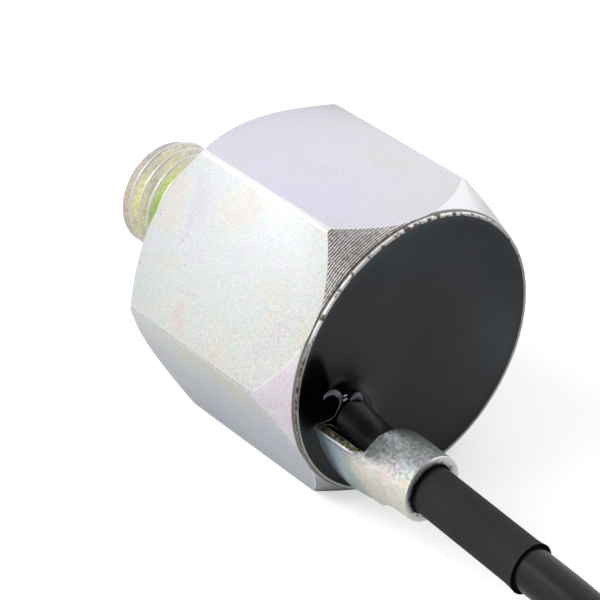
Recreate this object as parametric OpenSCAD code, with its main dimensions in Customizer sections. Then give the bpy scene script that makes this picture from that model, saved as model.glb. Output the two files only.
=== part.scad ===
// Screw-in knock sensor: a potted hexagon body with a threaded stud, a folded steel clip
// that grips the lead, and a short shielded lead that ends in a sealed two-way plug.
// The sensor's axis is X. The stud points to -X and the lead leaves the body at +X.
// The origin is the centre of the seat, where the stud meets the hexagon. It lies on a flat.

/* [Hexagon body] */
// Width across the flats of the hexagon
hex_af = 30; // [29:0.5:34]
// Length of the body from its seat to its rim
body_l = 26; // [26:0.5:34]
// Thickness of the cup's wall at the middle of a flat
rim_wall = 0.4; // [0.3:0.05:1]
// Width of the flat ring at the top of the rim
rim_land = 0.3; // [0.1:0.05:0.4]
// Height of the thin lip round the rim
rim_lip = 0.35; // [0.1:0.05:0.6]
// Thickness of the closed end of the cup
floor_t = 4.5; // [3:0.25:6]
// Angle of the front chamfer, measured from the rim plane
front_chamfer = 57; // [30:1:62]
// Angle of the seat chamfer, measured from the seat
seat_chamfer = 45; // [30:1:60]
// How far the seat's edge lies inside the flats
seat_step = 0.8; // [0.2:0.1:1.5]
// How much is turned off the sharp edges between the flats
edge_turn = 0.2; // [0.05:0.01:0.5]

/* [Stud] */
// Outer diameter of the stud's thread
stud_d = 12; // [8:0.5:16]
// Length of the stud from the seat to its tip
stud_l = 15; // [8:0.5:25]
// Length of the chamfer at the stud's tip
stud_tip = 1.5; // [0.5:0.1:2]

/* [Sensing stack] */
// Diameter of the inner post that the stack is clamped on
post_d = 8; // [6:0.5:9]
// How far the post stands out of its nut
post_proud = 0.5; // [0:0.1:1]
// Running gap of the stack's rings, all round
fit_gap = 0.05; // [0.02:0.01:0.15]
// Wall of the insulating tube on the post
tube_wall = 0.5; // [0.3:0.05:0.8]
// Thickness of each insulating washer
insulator_t = 0.5; // [0.3:0.05:0.8]
// Thickness of the contact rings and their tabs
contact_t = 0.5; // [0.3:0.05:0.6]
// Width of the contact tabs
tab_w = 2.2; // [1.5:0.1:3]
// Thickness of the piezo-ceramic ring
piezo_t = 3.5; // [2:0.25:3.75]
// Outer diameter of the piezo-ceramic ring, the contact rings and the lower washer
piezo_d = 20; // [16:0.5:20.5]
// Thickness of the mass ring
mass_t = 4.5; // [3:0.25:5]
// Outer diameter of the mass ring and the washer under it
mass_d = 21; // [17:0.5:22]
// Sheet thickness of the disc spring
spring_t = 0.5; // [0.3:0.05:0.7]
// Height that the disc spring's cone adds
spring_rise = 0.4; // [0.2:0.05:0.6]
// Width across the flats of the clamp nut
nut_af = 13; // [11:0.5:14]
// Thickness of the clamp nut
nut_t = 4; // [3:0.25:4.5]
// Length of the resistor's body
resistor_l = 5; // [3.5:0.25:6]
// Diameter of the resistor's body
resistor_d = 2.2; // [1.6:0.1:2.4]

/* [Potting] */
// How far the resin's face lies below the rim
potting_drop = 0.2; // [0:0.05:0.6]
// Height of the raised resin round the lead
meniscus_h = 1.3; // [0.6:0.1:1.6]

/* [Cable clip] */
// Sheet thickness of the clip
sheet_t = 0.9; // [0.7:0.05:1.1]
// Width of the clip's foot
clip_w = 10.4; // [9:0.2:11]
// Radius that the foot is curved to
clip_curve = 24; // [18:1:40]
// Gap between the clip's foot and the cup's wall at the middle of the foot
clip_inset = 1.4; // [1.2:0.05:2]
// Depth of the clip's foot in the resin
clip_foot = 5.5; // [3:0.25:6]
// Length of the open foot between the rim and the collar
clip_reach = 6; // [5:0.1:8]
// Length of the collar
collar_l = 5.5; // [4:0.25:8]
// Extra width of the collar where it leaves the foot
collar_flare = 1.1; // [0.2:0.1:1.4]
// Gap between the collar and the sleeve
crimp_gap = 0.1; // [0.02:0.01:0.2]
// Turn of the clip about the sensor's axis, from the lower flat
clip_roll = 60; // [60:60:300]

/* [Lead] */
// Outer diameter of the lead
cable_d = 4.4; // [4:0.1:4.8]
// Outer diameter of the sleeve over the lead
sleeve_d = 4.9; // [4.8:0.05:5.6]
// Length of the sleeve
sleeve_l = 18; // [12:0.5:26]
// How far the lead droops as it leaves the collar
lead_pitch = 4.3; // [0:0.1:8]
// Radius of the put-away coil at the middle of its turns
coil_r = 23; // [22:0.5:30]
// Thickness of the band round the coil
tie_t = 0.4; // [0.2:0.05:0.4]
// Part of the coil that the band covers, in degrees
tie_turn = 22; // [10:1:40]

/* [Plug] */
// Length of the rubber boot
boot_l = 14; // [10:0.5:20]
// Width of the plug's housing
shell_w = 18; // [16:0.5:20]
// Height of the plug's housing
shell_h = 14; // [12.8:0.2:15]
// Length of the plug's housing without its nose
shell_l = 16; // [12:0.5:22]
// Length of the plug's nose
nose_l = 8; // [6:0.5:12]
// Width of the plug's nose
nose_w = 13.4; // [12:0.2:14.6]
// Height of the plug's nose
nose_h = 8.8; // [7:0.2:9.8]
// Distance between the two terminals
pitch = 5.4; // [4.6:0.1:6]
// Outside width of a terminal
terminal_w = 2.2; // [1.6:0.1:2.6]

/* [Hidden] */
$fn = 64;

zinc = [0.80, 0.81, 0.84];
steel = [0.62, 0.63, 0.66];
brass = [0.83, 0.70, 0.38];
resin = [0.16, 0.17, 0.19];
jacket = [0.10, 0.10, 0.11];

// Body
bore_r = hex_af / 2 - rim_wall;
corner_r = hex_af / 2 / cos(30) - edge_turn;
seat_r = hex_af / 2 - seat_step;
rim_r = bore_r + rim_land;
face_x = body_l - potting_drop;
surface_z = -hex_af / 2;

// Sensing stack, from the floor of the cup upwards
post_r = post_d / 2;
hole_r = post_r + fit_gap + tube_wall + fit_gap;
ground_x = floor_t + insulator_t;
piezo_x = ground_x + contact_t;
signal_x = piezo_x + piezo_t;
upper_x = signal_x + contact_t;
mass_x = upper_x + insulator_t;
spring_x = mass_x + mass_t;
nut_x = spring_x + spring_t + spring_rise;
post_x = nut_x + nut_t + post_proud;
spring_hole_r = post_r + 0.2;
spring_edge_r = nut_af / 2 + 1;

// Contact tabs and what is soldered to them
tab_gap = 0.6;
tab_r = mass_d / 2 + tab_gap;
tab_top = post_x + 1.6;
tab_root = piezo_d / 2 - 1;
ground_turn = 60;
signal_turn = 120;
joint_r = 0.9;
joint_at = tab_r - 0.5;
joint_x = tab_top - 1.2;
pin_d = 0.6;
core_r = 0.4;
core_apart = 0.75;
core_out = 1;
elbow_r = 0.48;
signal_land = [0.3, -0.4, -0.4];
ground_land = [0.75, -0.1, -0.2];

// Clip and the straight stretch of the lead that it grips
keel = bore_r - clip_inset;
keel_side = 1.9;
foot_taper = 2.8;
sleeve_r = sleeve_d / 2;
collar_r = sleeve_r + crimp_gap + sheet_t;
collar_x = body_l + clip_reach;
collar_end = collar_x + collar_l;
collar_shift = 0.5;
lead_side = 1.55;
lead_out = keel - collar_r;
droop = tan(lead_pitch);
sleeve_inset = 1;
key_hole_d = 2.5;
key_hole_in = 2.2;
key_hole_x = body_l - clip_foot + key_hole_in;
foot_end = collar_x + 0.3;
foot_cut = 4;
seam = 1.5;

// Place on the lead's axis where it leaves the collar
lead_exit = [
    collar_end,
    lead_side * cos(clip_roll) - lead_out * sin(clip_roll),
    -lead_side * sin(clip_roll) - lead_out * cos(clip_roll)
];

// Coil and the surface that it lies on
cable_r = cable_d / 2;
coil_away = 58.5;
coil_at = [lead_exit.x + coil_away, lead_exit.y + coil_r];
coil_low = surface_z + tie_t + cable_r;
coil_high = coil_low + cable_d;
tie_from = -11;

// Route of the lead: its end over the contact tabs, from the resin's face to past the sleeve as
// seen from the exit, and on to the coil as places along X and heights over the coil's lower turn
end_away = [0.8, -2.7, 5.9];
lead_end = [tab_top + end_away.x, lead_exit.y + end_away.y, lead_exit.z + end_away.z];
lead_near = [
    [-11.5, -1.2, 3], [-9.6, -0.4, 1.5], [-7.4, 0, 0.6], [-4.9, 0, 0.4],
    [0, 0, 0], [13.5, 0, -1], [20.5, 0, -1.6]
];
lead_far = [[29.5, 3], [40.5, 0.7], [48.5, 0], [53.5, 0]];
lead_route = concat(
    [lead_end],
    [for (p = lead_near) lead_exit + p],
    [for (p = lead_far) [lead_exit.x + p[0], lead_exit.y, coil_low + p[1]]]
);

// Route of the lead from the coil into the plug
tail_y = coil_at[1] + coil_r;
plug_z = surface_z + shell_h / 2;
tail_out = [4, 12, 21, 29];
tail_z = [coil_high, coil_high, plug_z, plug_z];
tail_route = [for (i = [0:3]) [coil_at[0] - tail_out[i], tail_y, tail_z[i]]];

// Meniscus of the resin round the lead
meniscus_side = -0.9;
meniscus_over = 3.1;
meniscus_at = [0, lead_exit.y + meniscus_side, lead_exit.z + meniscus_over];
meniscus_r = 4.6;
meniscus_mid_r = meniscus_r - 1;
meniscus_mid_h = 0.45;
meniscus_top_r = 3;

// Plug, drawn from the back of its boot along +X and then laid beside the coil
plug_out = 16;
plug_at = [coil_at[0] - plug_out, tail_y, plug_z];
boot_r = 4.6;
boot_tip = 3.2;
boot_depth = 3;
groove = 0.6;
shell_x = boot_l - boot_depth;
nose_x = shell_x + shell_l;
nose_end = nose_x + nose_l;
corner = 2;
seal_l = 3;
seal_t = 0.9;
cavity_w = terminal_w + 0.2;
lock_l = 3;
lock_h = 1.6;
lock_gap = 0.05;
lock_z = cavity_w / 2 + 0.2;
lock_w = nose_w - 2;
latch_w = 6;
latch_t = 1.4;
latch_gap = 1;
latch_root = 0.5;
latch_hinge_l = 3;
guard_away = 2.6;
guard_at = latch_w / 2 + guard_away;
guard_rise = 0.2;
guard_inset = 1;
thumb_at = 2;
thumb_l = 2.4;
thumb_over = 1.5;
thumb_rise = 0.6;
latch_short = 3;
guard_t = 1.4;
bead_l = 0.8;
terminal_l = nose_l + shell_l / 2;
terminal_wall = 0.3;
terminal_inset = 0.8;
socket_l = 6;

// Helpers

// A round bar along X
module bar(x, l, r) {
    translate([x, 0, 0]) rotate([0, 90, 0]) cylinder(h = l, r = r);
}

// A flat ring along X
module ring(x, l, r, hole) {
    difference() {
        bar(x, l, r);
        bar(x - 1, l + 2, hole);
    }
}

// A shape turned about X from its outline of radius against X
module turned(outline) {
    rotate([0, 90, 0]) rotate_extrude($fn = 128) polygon([for (p = outline) [p[1], p[0]]]);
}

// An outline in Y and Z, drawn out along X
module along_x(x, l) {
    translate([x, 0, 0]) rotate([90, 0, 90]) linear_extrude(l) children();
}

// A rectangle with round corners
module rounded(w, h, r) {
    square([w - 2 * r, h], center = true);
    square([w, h - 2 * r], center = true);
    for (sx = [-1, 1], sy = [-1, 1]) translate([sx * (w / 2 - r), sy * (h / 2 - r)]) circle(r = r);
}

// A round bar between two points
module rod(p, q, r) {
    v = q - p;
    translate(p) rotate([0, acos(v.z / norm(v)), atan2(v.y, v.x)]) cylinder(h = norm(v), r = r);
}

// The place on a circle about X, counted from +Y towards +Z
function polar(x, r, turn) = [x, r * cos(turn), r * sin(turn)];

// Points on a smooth curve through p[i] and p[i + 1]
function knot(p, i) = p[max(0, min(len(p) - 1, i))];
function curve_point(p, i, t) =
    let (a = knot(p, i - 1), b = knot(p, i), c = knot(p, i + 1), d = knot(p, i + 2))
    0.5 * ((2 * b) + (c - a) * t + (2 * a - 5 * b + 4 * c - d) * t * t
        + (3 * b - a - 3 * c + d) * t * t * t);

// A round tube with flat sides, swept along a route
module swept(route, r, sides) {
    line = [for (i = [0:len(route) - 2], t = [0, 0.5]) curve_point(route, i, t), route[len(route) - 1]];
    last = len(line) - 1;
    points = [
        for (i = [0:last])
            let (
                ahead = line[min(i + 1, last)] - line[max(i - 1, 0)],
                side = cross(ahead, [0, 0, 1]) / norm(cross(ahead, [0, 0, 1])),
                up = cross(side, ahead) / norm(cross(side, ahead))
            )
            for (k = [0:sides - 1]) line[i] + r * (side * cos(k * 360 / sides) + up * sin(k * 360 / sides))
    ];
    faces = [
        [for (k = [sides - 1:-1:0]) k],
        [for (k = [0:sides - 1]) last * sides + k],
        for (i = [0:last - 1], k = [0:sides - 1])
            let (n = (k + 1) % sides)
            [i * sides + k, i * sides + n, (i + 1) * sides + n, (i + 1) * sides + k]
    ];
    polyhedron(points, faces, convexity = 10);
}

// Body

// Everything that the lathe leaves of the hexagon bar
module turned_limits() {
    front_l = (corner_r - rim_r) * tan(front_chamfer);
    seat_l = (corner_r - seat_r) * tan(seat_chamfer);
    turned([
        [0, 0], [0, seat_r], [seat_l, corner_r],
        [body_l - rim_lip - front_l, corner_r], [body_l - rim_lip, rim_r], [body_l, rim_r], [body_l, 0]
    ]);
}

module hex_body() {
    color(zinc) {
        difference() {
            intersection() {
                rotate([0, 90, 0]) rotate([0, 0, 30]) cylinder(h = body_l, d = hex_af / cos(30), $fn = 6);
                turned_limits();
            }
            bar(floor_t, body_l, bore_r);
        }
        turned([
            [0, 0], [0, stud_d / 2], [stud_tip - stud_l, stud_d / 2],
            [-stud_l, stud_d / 2 - stud_tip], [-stud_l, 0]
        ]);
        bar(floor_t, post_x - floor_t, post_r);
    }
}

// Sensing stack

module lower_insulator() {
    color("ivory") ring(floor_t, insulator_t, piezo_d / 2, hole_r);
}

// A contact ring whose tab is bent up past the mass
module contact(x, turn) {
    rotate([turn, 0, 0]) {
        along_x(x, contact_t) difference() {
            union() {
                circle(d = piezo_d);
                translate([0, -tab_w / 2]) square([tab_r + contact_t, tab_w]);
            }
            circle(r = hole_r);
        }
        translate([x + contact_t, tab_r, -tab_w / 2]) cube([tab_top - x - contact_t, contact_t, tab_w]);
    }
}

// The tab alone, from inside the ring
module tab(x, turn) {
    rotate([turn, 0, 0]) linear_extrude(tab_w, center = true) polygon([
        [x, tab_root], [x + contact_t, tab_root], [x + contact_t, tab_r], [tab_top, tab_r],
        [tab_top, tab_r + contact_t], [x, tab_r + contact_t]
    ]);
}

module ground_contact() {
    color(brass) contact(ground_x, ground_turn);
}

module piezo_ring() {
    color("gainsboro") ring(piezo_x, piezo_t, piezo_d / 2, hole_r);
}

module signal_contact() {
    color(brass) contact(signal_x, signal_turn);
}

module upper_insulator() {
    color("ivory") ring(upper_x, insulator_t, mass_d / 2, hole_r);
}

module seismic_mass() {
    color(steel) ring(mass_x, mass_t, mass_d / 2, hole_r);
}

module insulating_tube() {
    color("ivory") ring(floor_t, spring_x - floor_t - fit_gap, hole_r - fit_gap, post_r + fit_gap);
}

module disc_spring() {
    color(steel) turned([
        [spring_x, spring_edge_r], [spring_x + spring_t, spring_edge_r],
        [nut_x, spring_hole_r], [spring_x + spring_rise, spring_hole_r]
    ]);
}

module clamp_nut() {
    color(steel) difference() {
        translate([nut_x, 0, 0]) rotate([0, 90, 0]) cylinder(h = nut_t, d = nut_af / cos(30), $fn = 6);
        bar(nut_x - 1, nut_t + 2, post_r);
    }
}

// Soldered parts

// The resistor with its two pins and the solder that joins them to the tabs
module resistor_run() {
    reach = joint_at * cos(ground_turn);
    height = joint_at * sin(ground_turn);
    translate([joint_x, 0, height]) rotate([90, 0, 0]) {
        cylinder(h = resistor_l, d = resistor_d, center = true);
        cylinder(h = 2 * reach, d = pin_d, center = true);
    }
    solder();
}

module solder() {
    for (turn = [ground_turn, signal_turn]) translate(polar(joint_x, joint_at, turn)) sphere(r = joint_r);
}

module shunt_resistor() {
    color("tan") difference() {
        resistor_run();
        ground_contact();
        signal_contact();
    }
}

// An inner wire of the lead, from the lead's end to the solder on a tab
function unit(v) = v / norm(v);
function lead_dir() = unit(curve_point(lead_route, 0, 0.5) - lead_route[0]);
function core_start(side) = lead_route[0] + side * core_apart * unit(cross(lead_dir(), [0, 1, 0]));

module core(side, goal) {
    start = core_start(side);
    elbow = start - core_out * lead_dir();
    rod(start, elbow, core_r);
    translate(elbow) sphere(r = elbow_r);
    rod(elbow, goal, core_r);
}

module signal_core() {
    core(1, polar(joint_x, joint_at, signal_turn) + signal_land);
}

module ground_core() {
    core(-1, polar(joint_x, joint_at, ground_turn) + ground_land);
}

module signal_wire() {
    color("white") difference() {
        signal_core();
        solder();
    }
}

module ground_wire() {
    color("dimgray") difference() {
        ground_core();
        solder();
    }
}

// Resin

// The outside of all that the resin surrounds
module embedded() {
    bar(floor_t - 1, insulator_t + 1, piezo_d / 2);
    bar(ground_x, signal_x + contact_t - ground_x, piezo_d / 2);
    bar(upper_x, insulator_t + mass_t, mass_d / 2);
    turned([
        [spring_x, 0], [spring_x, spring_edge_r], [spring_x + spring_t, spring_edge_r],
        [nut_x, spring_hole_r], [nut_x, 0]
    ]);
    translate([nut_x, 0, 0]) rotate([0, 90, 0]) cylinder(h = nut_t, d = nut_af / cos(30), $fn = 6);
    bar(floor_t, post_x - floor_t, post_r);
    tab(ground_x, ground_turn);
    tab(signal_x, signal_turn);
    resistor_run();
    signal_core();
    ground_core();
}

module potting() {
    color(resin) difference() {
        union() {
            bar(floor_t, face_x - floor_t, bore_r);
            translate(meniscus_at) turned([
                [face_x - 1, 0], [face_x - 1, meniscus_r], [face_x, meniscus_r],
                [face_x + meniscus_mid_h, meniscus_mid_r],
                [face_x + meniscus_h, meniscus_top_r], [face_x + meniscus_h, 0]
            ]);
        }
        embedded();
        clip_foot_sheet();
        cable();
    }
}

// Cable clip

// Places a shape drawn with -Z towards the clip's foot
module clip_frame() {
    rotate([-clip_roll, 0, 0]) children();
}

// The curved sheet of the foot, keyed to the resin by a hole
module clip_foot_sheet() {
    back = body_l - clip_foot;
    near = keel_side - clip_w / 2;
    far = keel_side + clip_w / 2;
    clip_frame() difference() {
        intersection() {
            along_x(back, foot_end - back) translate([keel_side, clip_curve - keel]) difference() {
                circle(r = clip_curve);
                circle(r = clip_curve - sheet_t);
            }
            translate([0, 0, -keel - 1]) linear_extrude(foot_cut) polygon([
                [back, near], [foot_end, near], [foot_end, far - foot_taper], [body_l, far], [back, far]
            ]);
        }
        translate([key_hole_x, keel_side, -keel - 1]) cylinder(h = foot_cut, d = key_hole_d);
    }
}

// How far the collar still is from round, with s from 0 at the foot to 1 at its front
function flare(s) = pow(1 - s, 3);
function lead_y(x) = lead_side + (x - collar_end) * droop * sin(clip_roll);
function lead_z(x) = -lead_out - (x - collar_end) * droop * cos(clip_roll);

// A place on an oval that is squarer below, towards the foot, and flatter above
function power(v, e) = sign(v) * pow(abs(v), e);
function oval(a, low, high, below, above, turn) =
    let (c = cos(turn), s = sin(turn), e = 2 / (s < 0 ? below : above))
    [a * power(c, e), (s < 0 ? low : high) * power(s, e)];

function collar_ring(s, inset, steps) =
    let (
        x = collar_x + s * collar_l,
        a = collar_r + collar_flare * flare(s) - inset,
        low = keel + lead_z(x) - inset,
        high = collar_r - inset
    )
    [for (k = [0:steps])
        let (
            turn = 90 + seam + (360 - 2 * seam) * k / steps,
            p = oval(a, low, high, 2 + 1.8 * flare(s), 2 - 0.4 * flare(s), turn)
        )
        [x, lead_y(x) + collar_shift * flare(s) + p[0], lead_z(x) + p[1]]];

// The collar is one strip of sheet, rolled from the foot until its two edges meet
module collar() {
    rings = 8;
    steps = 48;
    row = steps + 1;
    half = (rings + 1) * row;
    points = concat(
        [for (i = [0:rings]) each collar_ring(i / rings, 0, steps)],
        [for (i = [0:rings]) each collar_ring(i / rings, sheet_t, steps)]
    );
    faces = [
        for (i = [0:rings - 1], k = [0:steps - 1]) let (a = i * row + k) [a, a + row, a + row + 1, a + 1],
        for (i = [0:rings - 1], k = [0:steps - 1])
            let (a = half + i * row + k) [a, a + 1, a + row + 1, a + row],
        for (k = [0:steps - 1]) [k, k + 1, half + k + 1, half + k],
        for (k = [0:steps - 1]) let (a = rings * row + k) [a + 1, a, half + a, half + a + 1],
        for (i = [0:rings - 1]) let (a = i * row) [a + row, a, half + a, half + a + row],
        for (i = [0:rings - 1]) let (a = i * row + steps) [a, a + row, half + a + row, half + a]
    ];
    clip_frame() polyhedron(points, faces, convexity = 6);
}

module cable_clip() {
    color(zinc) {
        clip_foot_sheet();
        collar();
    }
}

// Lead

// Places a shape drawn along +X from the front of the collar on the lead's axis
module lead_frame() {
    translate(lead_exit) rotate([0, lead_pitch, 0]) children();
}

module sleeve() {
    color(resin) difference() {
        lead_frame() bar(sleeve_inset - collar_l, sleeve_l, sleeve_r);
        cable();
    }
}

module cable() {
    color(jacket) swept(lead_route, cable_r, 12);
}

module cable_tail() {
    color(jacket) swept(tail_route, cable_r, 12);
}

// A full turn with half a turn on it
module cable_coil() {
    color(jacket) translate(coil_at) {
        rotate_extrude($fn = 96) translate([coil_r, coil_low]) circle(r = cable_r);
        rotate([0, 0, -90]) rotate_extrude(angle = 180, $fn = 96) {
            translate([coil_r, coil_high]) circle(r = cable_r);
            translate([coil_r - cable_r / 2, coil_low]) square([cable_r, coil_high - coil_low]);
        }
    }
}

module coil_tie() {
    color("dimgray") translate(coil_at) rotate([0, 0, tie_from]) rotate_extrude(angle = tie_turn, $fn = 96)
        difference() {
            both_turns(cable_r + tie_t);
            both_turns(cable_r);
        }
}

// The outline round the two turns, one on the other
module both_turns(r) {
    for (z = [coil_low, coil_high]) translate([coil_r, z]) circle(r = r);
    translate([coil_r - r, coil_low]) square([2 * r, coil_high - coil_low]);
}

// Plug

module plug_frame() {
    translate(plug_at) rotate([0, 0, 180]) children();
}

module connector_boot() {
    rib = shell_x / 7;
    slope = (boot_r - boot_tip) / shell_x;
    ribs = [for (i = [0:5], e = [0, 1]) let (x = (i + e) * rib + 1)
        [x, boot_tip + slope * x - (i % 2 == 1 ? groove : 0)]];
    color(jacket) plug_frame() difference() {
        turned(concat(
            [[0, 0], [0, boot_tip]],
            ribs,
            [[shell_x, boot_r], [boot_l, boot_r], [boot_l, 0]]
        ));
        bar(-1, boot_l + 2, cable_r);
    }
}

module connector_shell() {
    color("slategray") plug_frame() difference() {
        union() {
            along_x(shell_x, shell_l) rounded(shell_w, shell_h, corner);
            along_x(nose_x, nose_l) rounded(nose_w, nose_h, corner / 2);
            latch();
        }
        bar(shell_x - 1, boot_depth + 1, boot_r);
        for (side = [-1, 1]) translate([boot_l - 1, 0, 0])
            along_x(0, nose_end) translate([side * pitch / 2, 0]) square(cavity_w, center = true);
        translate([nose_end - lock_l - lock_gap, -lock_w / 2 - lock_gap, lock_z - lock_gap])
            cube([lock_l + 1, lock_w + 2 * lock_gap, lock_h + 2 * lock_gap]);
    }
}

// The latch arm on top of the housing, open below and hinged at the front
module latch() {
    top = shell_h / 2;
    base = top - latch_root;
    translate([nose_x - latch_hinge_l, -latch_w / 2, base])
        cube([latch_hinge_l, latch_w, latch_root + latch_gap + latch_t]);
    translate([shell_x + thumb_at, -latch_w / 2, top + latch_gap])
        cube([shell_l - latch_short, latch_w, latch_t]);
    translate([shell_x + thumb_at, -latch_w / 2 - thumb_over, top + latch_gap])
        cube([thumb_l, latch_w + 2 * thumb_over, latch_t + thumb_rise]);
    for (side = [-1, 1]) translate([shell_x + guard_inset, side * guard_at - guard_t / 2, base])
        cube([shell_l - latch_short, guard_t, latch_root + latch_gap + latch_t + guard_rise]);
}

module nose_seal() {
    color("sienna") plug_frame() difference() {
        union() {
            along_x(nose_x, seal_l) rounded(nose_w + seal_t, nose_h + seal_t, corner / 2 + seal_t / 2);
            for (x = [0.2, seal_l - bead_l - 0.2]) along_x(nose_x + x, bead_l)
                rounded(nose_w + 2 * seal_t, nose_h + 2 * seal_t, corner / 2 + seal_t);
        }
        along_x(nose_x - 1, seal_l + 2) rounded(nose_w, nose_h, corner / 2);
    }
}

module terminal_lock() {
    color("seagreen") plug_frame() translate([nose_end - lock_l, -lock_w / 2, lock_z])
        cube([lock_l, lock_w, lock_h]);
}

// A box terminal that takes a pin, crimped to its wire at the back
module terminal(side) {
    front = nose_end - terminal_inset;
    color("silver") plug_frame() translate([0, side * pitch / 2, 0]) difference() {
        along_x(front - terminal_l, terminal_l) square(terminal_w, center = true);
        along_x(front - socket_l, socket_l + 1) square(terminal_w - 2 * terminal_wall, center = true);
    }
}

module terminal_signal() {
    terminal(1);
}

module terminal_ground() {
    terminal(-1);
}

hex_body();
potting();
cable_clip();
sleeve();
cable();
lower_insulator();
ground_contact();
piezo_ring();
signal_contact();
upper_insulator();
seismic_mass();
disc_spring();
clamp_nut();
insulating_tube();
shunt_resistor();
signal_wire();
ground_wire();
cable_coil();
cable_tail();
coil_tie();
connector_boot();
connector_shell();
nose_seal();
terminal_lock();
terminal_signal();
terminal_ground();
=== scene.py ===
# %% [markdown]
# A knock sensor in Blender
#
# A knock sensor is a steel plug that is screwed into an engine block and listens for knocking.
# Its body is a hexagon bar, turned at both ends, with a threaded stud on one side and a cup on
# the other. The cup is filled with black resin, and a lead comes out of the resin through a
# folded steel clip. The CAD frame is loaded first, because every piece is placed by it.

# %% Load the CAD frame
import math

import bpy
from mathutils import Matrix, Vector


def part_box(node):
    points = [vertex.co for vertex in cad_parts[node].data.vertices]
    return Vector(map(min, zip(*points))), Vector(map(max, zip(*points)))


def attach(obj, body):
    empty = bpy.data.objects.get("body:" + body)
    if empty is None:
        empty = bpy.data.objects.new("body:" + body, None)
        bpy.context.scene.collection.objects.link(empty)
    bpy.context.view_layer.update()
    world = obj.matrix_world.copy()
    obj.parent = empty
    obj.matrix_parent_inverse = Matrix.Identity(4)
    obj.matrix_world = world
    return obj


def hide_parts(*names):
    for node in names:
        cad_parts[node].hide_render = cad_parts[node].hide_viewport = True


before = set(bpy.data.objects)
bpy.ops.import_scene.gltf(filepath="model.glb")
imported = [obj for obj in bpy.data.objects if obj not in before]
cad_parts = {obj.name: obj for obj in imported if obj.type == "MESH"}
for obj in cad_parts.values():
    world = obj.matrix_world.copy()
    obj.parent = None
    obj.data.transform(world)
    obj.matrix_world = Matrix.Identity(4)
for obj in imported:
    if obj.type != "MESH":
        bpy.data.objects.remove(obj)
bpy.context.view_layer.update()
print("CAD nodes:", len(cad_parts))

# %% [markdown]
# Sizes
#
# All sizes are in metres, in the frame of the CAD model: X runs along the sensor's axis from
# the stud to the resin, the origin is the centre of the seat, and Z points up. They are written
# once here, in millimetres where that reads better, and every later cell uses these names.

# %% Driving sizes
MM = 0.001
SURFACE_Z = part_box("hex_body")[0].z
HEX_AF = 30 * MM
HEX_POINT_R = HEX_AF / 2 / math.cos(math.radians(30))
BODY_L = 26 * MM
EDGE_TURN = 0.14 * MM
SEAT_STEP = 0.8 * MM
CUP_WALL = 0.4 * MM
RIM_LAND = 0.3 * MM
RIM_LIP = 0.35 * MM
RESIN_DROP = 0.2 * MM
CORNER_R = HEX_POINT_R - EDGE_TURN
SEAT_R = HEX_AF / 2 - SEAT_STEP
BORE_R = HEX_AF / 2 - CUP_WALL
RIM_R = BORE_R + RIM_LAND
FACE_X = BODY_L - RESIN_DROP
STUD_R = 6 * MM
STUD_L = 15 * MM
STUD_TIP = 1.5 * MM
CABLE_R = 2.2 * MM
print("surface at", round(SURFACE_Z, 4), "corner radius", round(CORNER_R, 5))

# %% [markdown]
# The camera
#
# A product photograph of a small part is taken from a short distance with a long lens, so the
# hexagon's long edges run only slightly together. The camera stands in front of the resin, a
# little to the stud's left and above, and looks down at about 31 degrees. It is tilted by a few
# degrees, as a hand-turned picture is.

# %% Camera
CAMERA_AT = Vector((177.45, -148.0, 135.07)) * MM
LOOKS_AT = Vector((26.0, -15.15, 11.6)) * MM
CAMERA_ROLL = math.radians(2.84)
LENS = 155.4
SENSOR_WIDTH = 36

view = (LOOKS_AT - CAMERA_AT).normalized()
bpy.ops.object.camera_add(location=CAMERA_AT)
camera = bpy.context.object
turn = view.to_track_quat("-Z", "Y").to_matrix() @ Matrix.Rotation(CAMERA_ROLL, 3, "Z")
camera.rotation_euler = turn.to_euler()
camera.data.lens = LENS
camera.data.sensor_width = SENSOR_WIDTH
camera.data.clip_start = 0.01
bpy.context.scene.camera = camera
print("camera looks along", [round(v, 4) for v in view])

# %% [markdown]
# The lead
#
# The lead is a short shielded cable, 4.4 mm thick. It comes out of the resin at a slant, bends
# into the clip's collar, runs straight through its sleeve and sinks to the surface. What the
# photograph doesn't show is put away in one and a half turns, which a loop works out from the
# coil's radius, and it ends in a sealed plug. A curve with a round bevel keeps the thickness the
# same everywhere.

# %% Route of the lead
LEAD_ROUTE = [
    (22.3, -10.37, -0.32), (26, -8.87, -3.22), (27.9, -8.07, -4.72), (30.1, -7.67, -5.62),
    (32.6, -7.67, -5.82), (37.5, -7.67, -6.22), (51, -7.67, -7.22), (58, -7.67, -7.82),
    (67, -7.67, -9.4), (78, -7.67, -11.7), (86, -7.67, -12.4),
]
TAIL_ROUTE = [(84, 38.33, -8), (75, 38.33, -8), (67, 38.33, -8)]
COIL_AT = (96, 15.33)
COIL_R = 23
COIL_LOW = -12.4
COIL_HIGH = -8
CLIMB_FROM = 0.72
CLIMB_OVER = 0.26
TURNS = 1.5
POINTS_A_TURN = 24


def clamped(share):
    """A share that is kept between 0 and 1."""
    return min(1, max(0, share))


def eased(share):
    """A share between 0 and 1 that starts and ends gently."""
    share = clamped(share)
    return share * share * (3 - 2 * share)


def coil_point(step):
    """A point of the coil, which climbs by one thickness at the end of its first turn."""
    turns = step / POINTS_A_TURN
    angle = math.radians(-90) + turns * math.tau
    height = COIL_LOW + (COIL_HIGH - COIL_LOW) * eased((turns - CLIMB_FROM) / CLIMB_OVER)
    return (COIL_AT[0] + COIL_R * math.cos(angle), COIL_AT[1] + COIL_R * math.sin(angle), height)


coil_points = [coil_point(step) for step in range(round(TURNS * POINTS_A_TURN) + 1)]
route = [Vector(point) * MM for point in LEAD_ROUTE + coil_points + TAIL_ROUTE]

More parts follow.
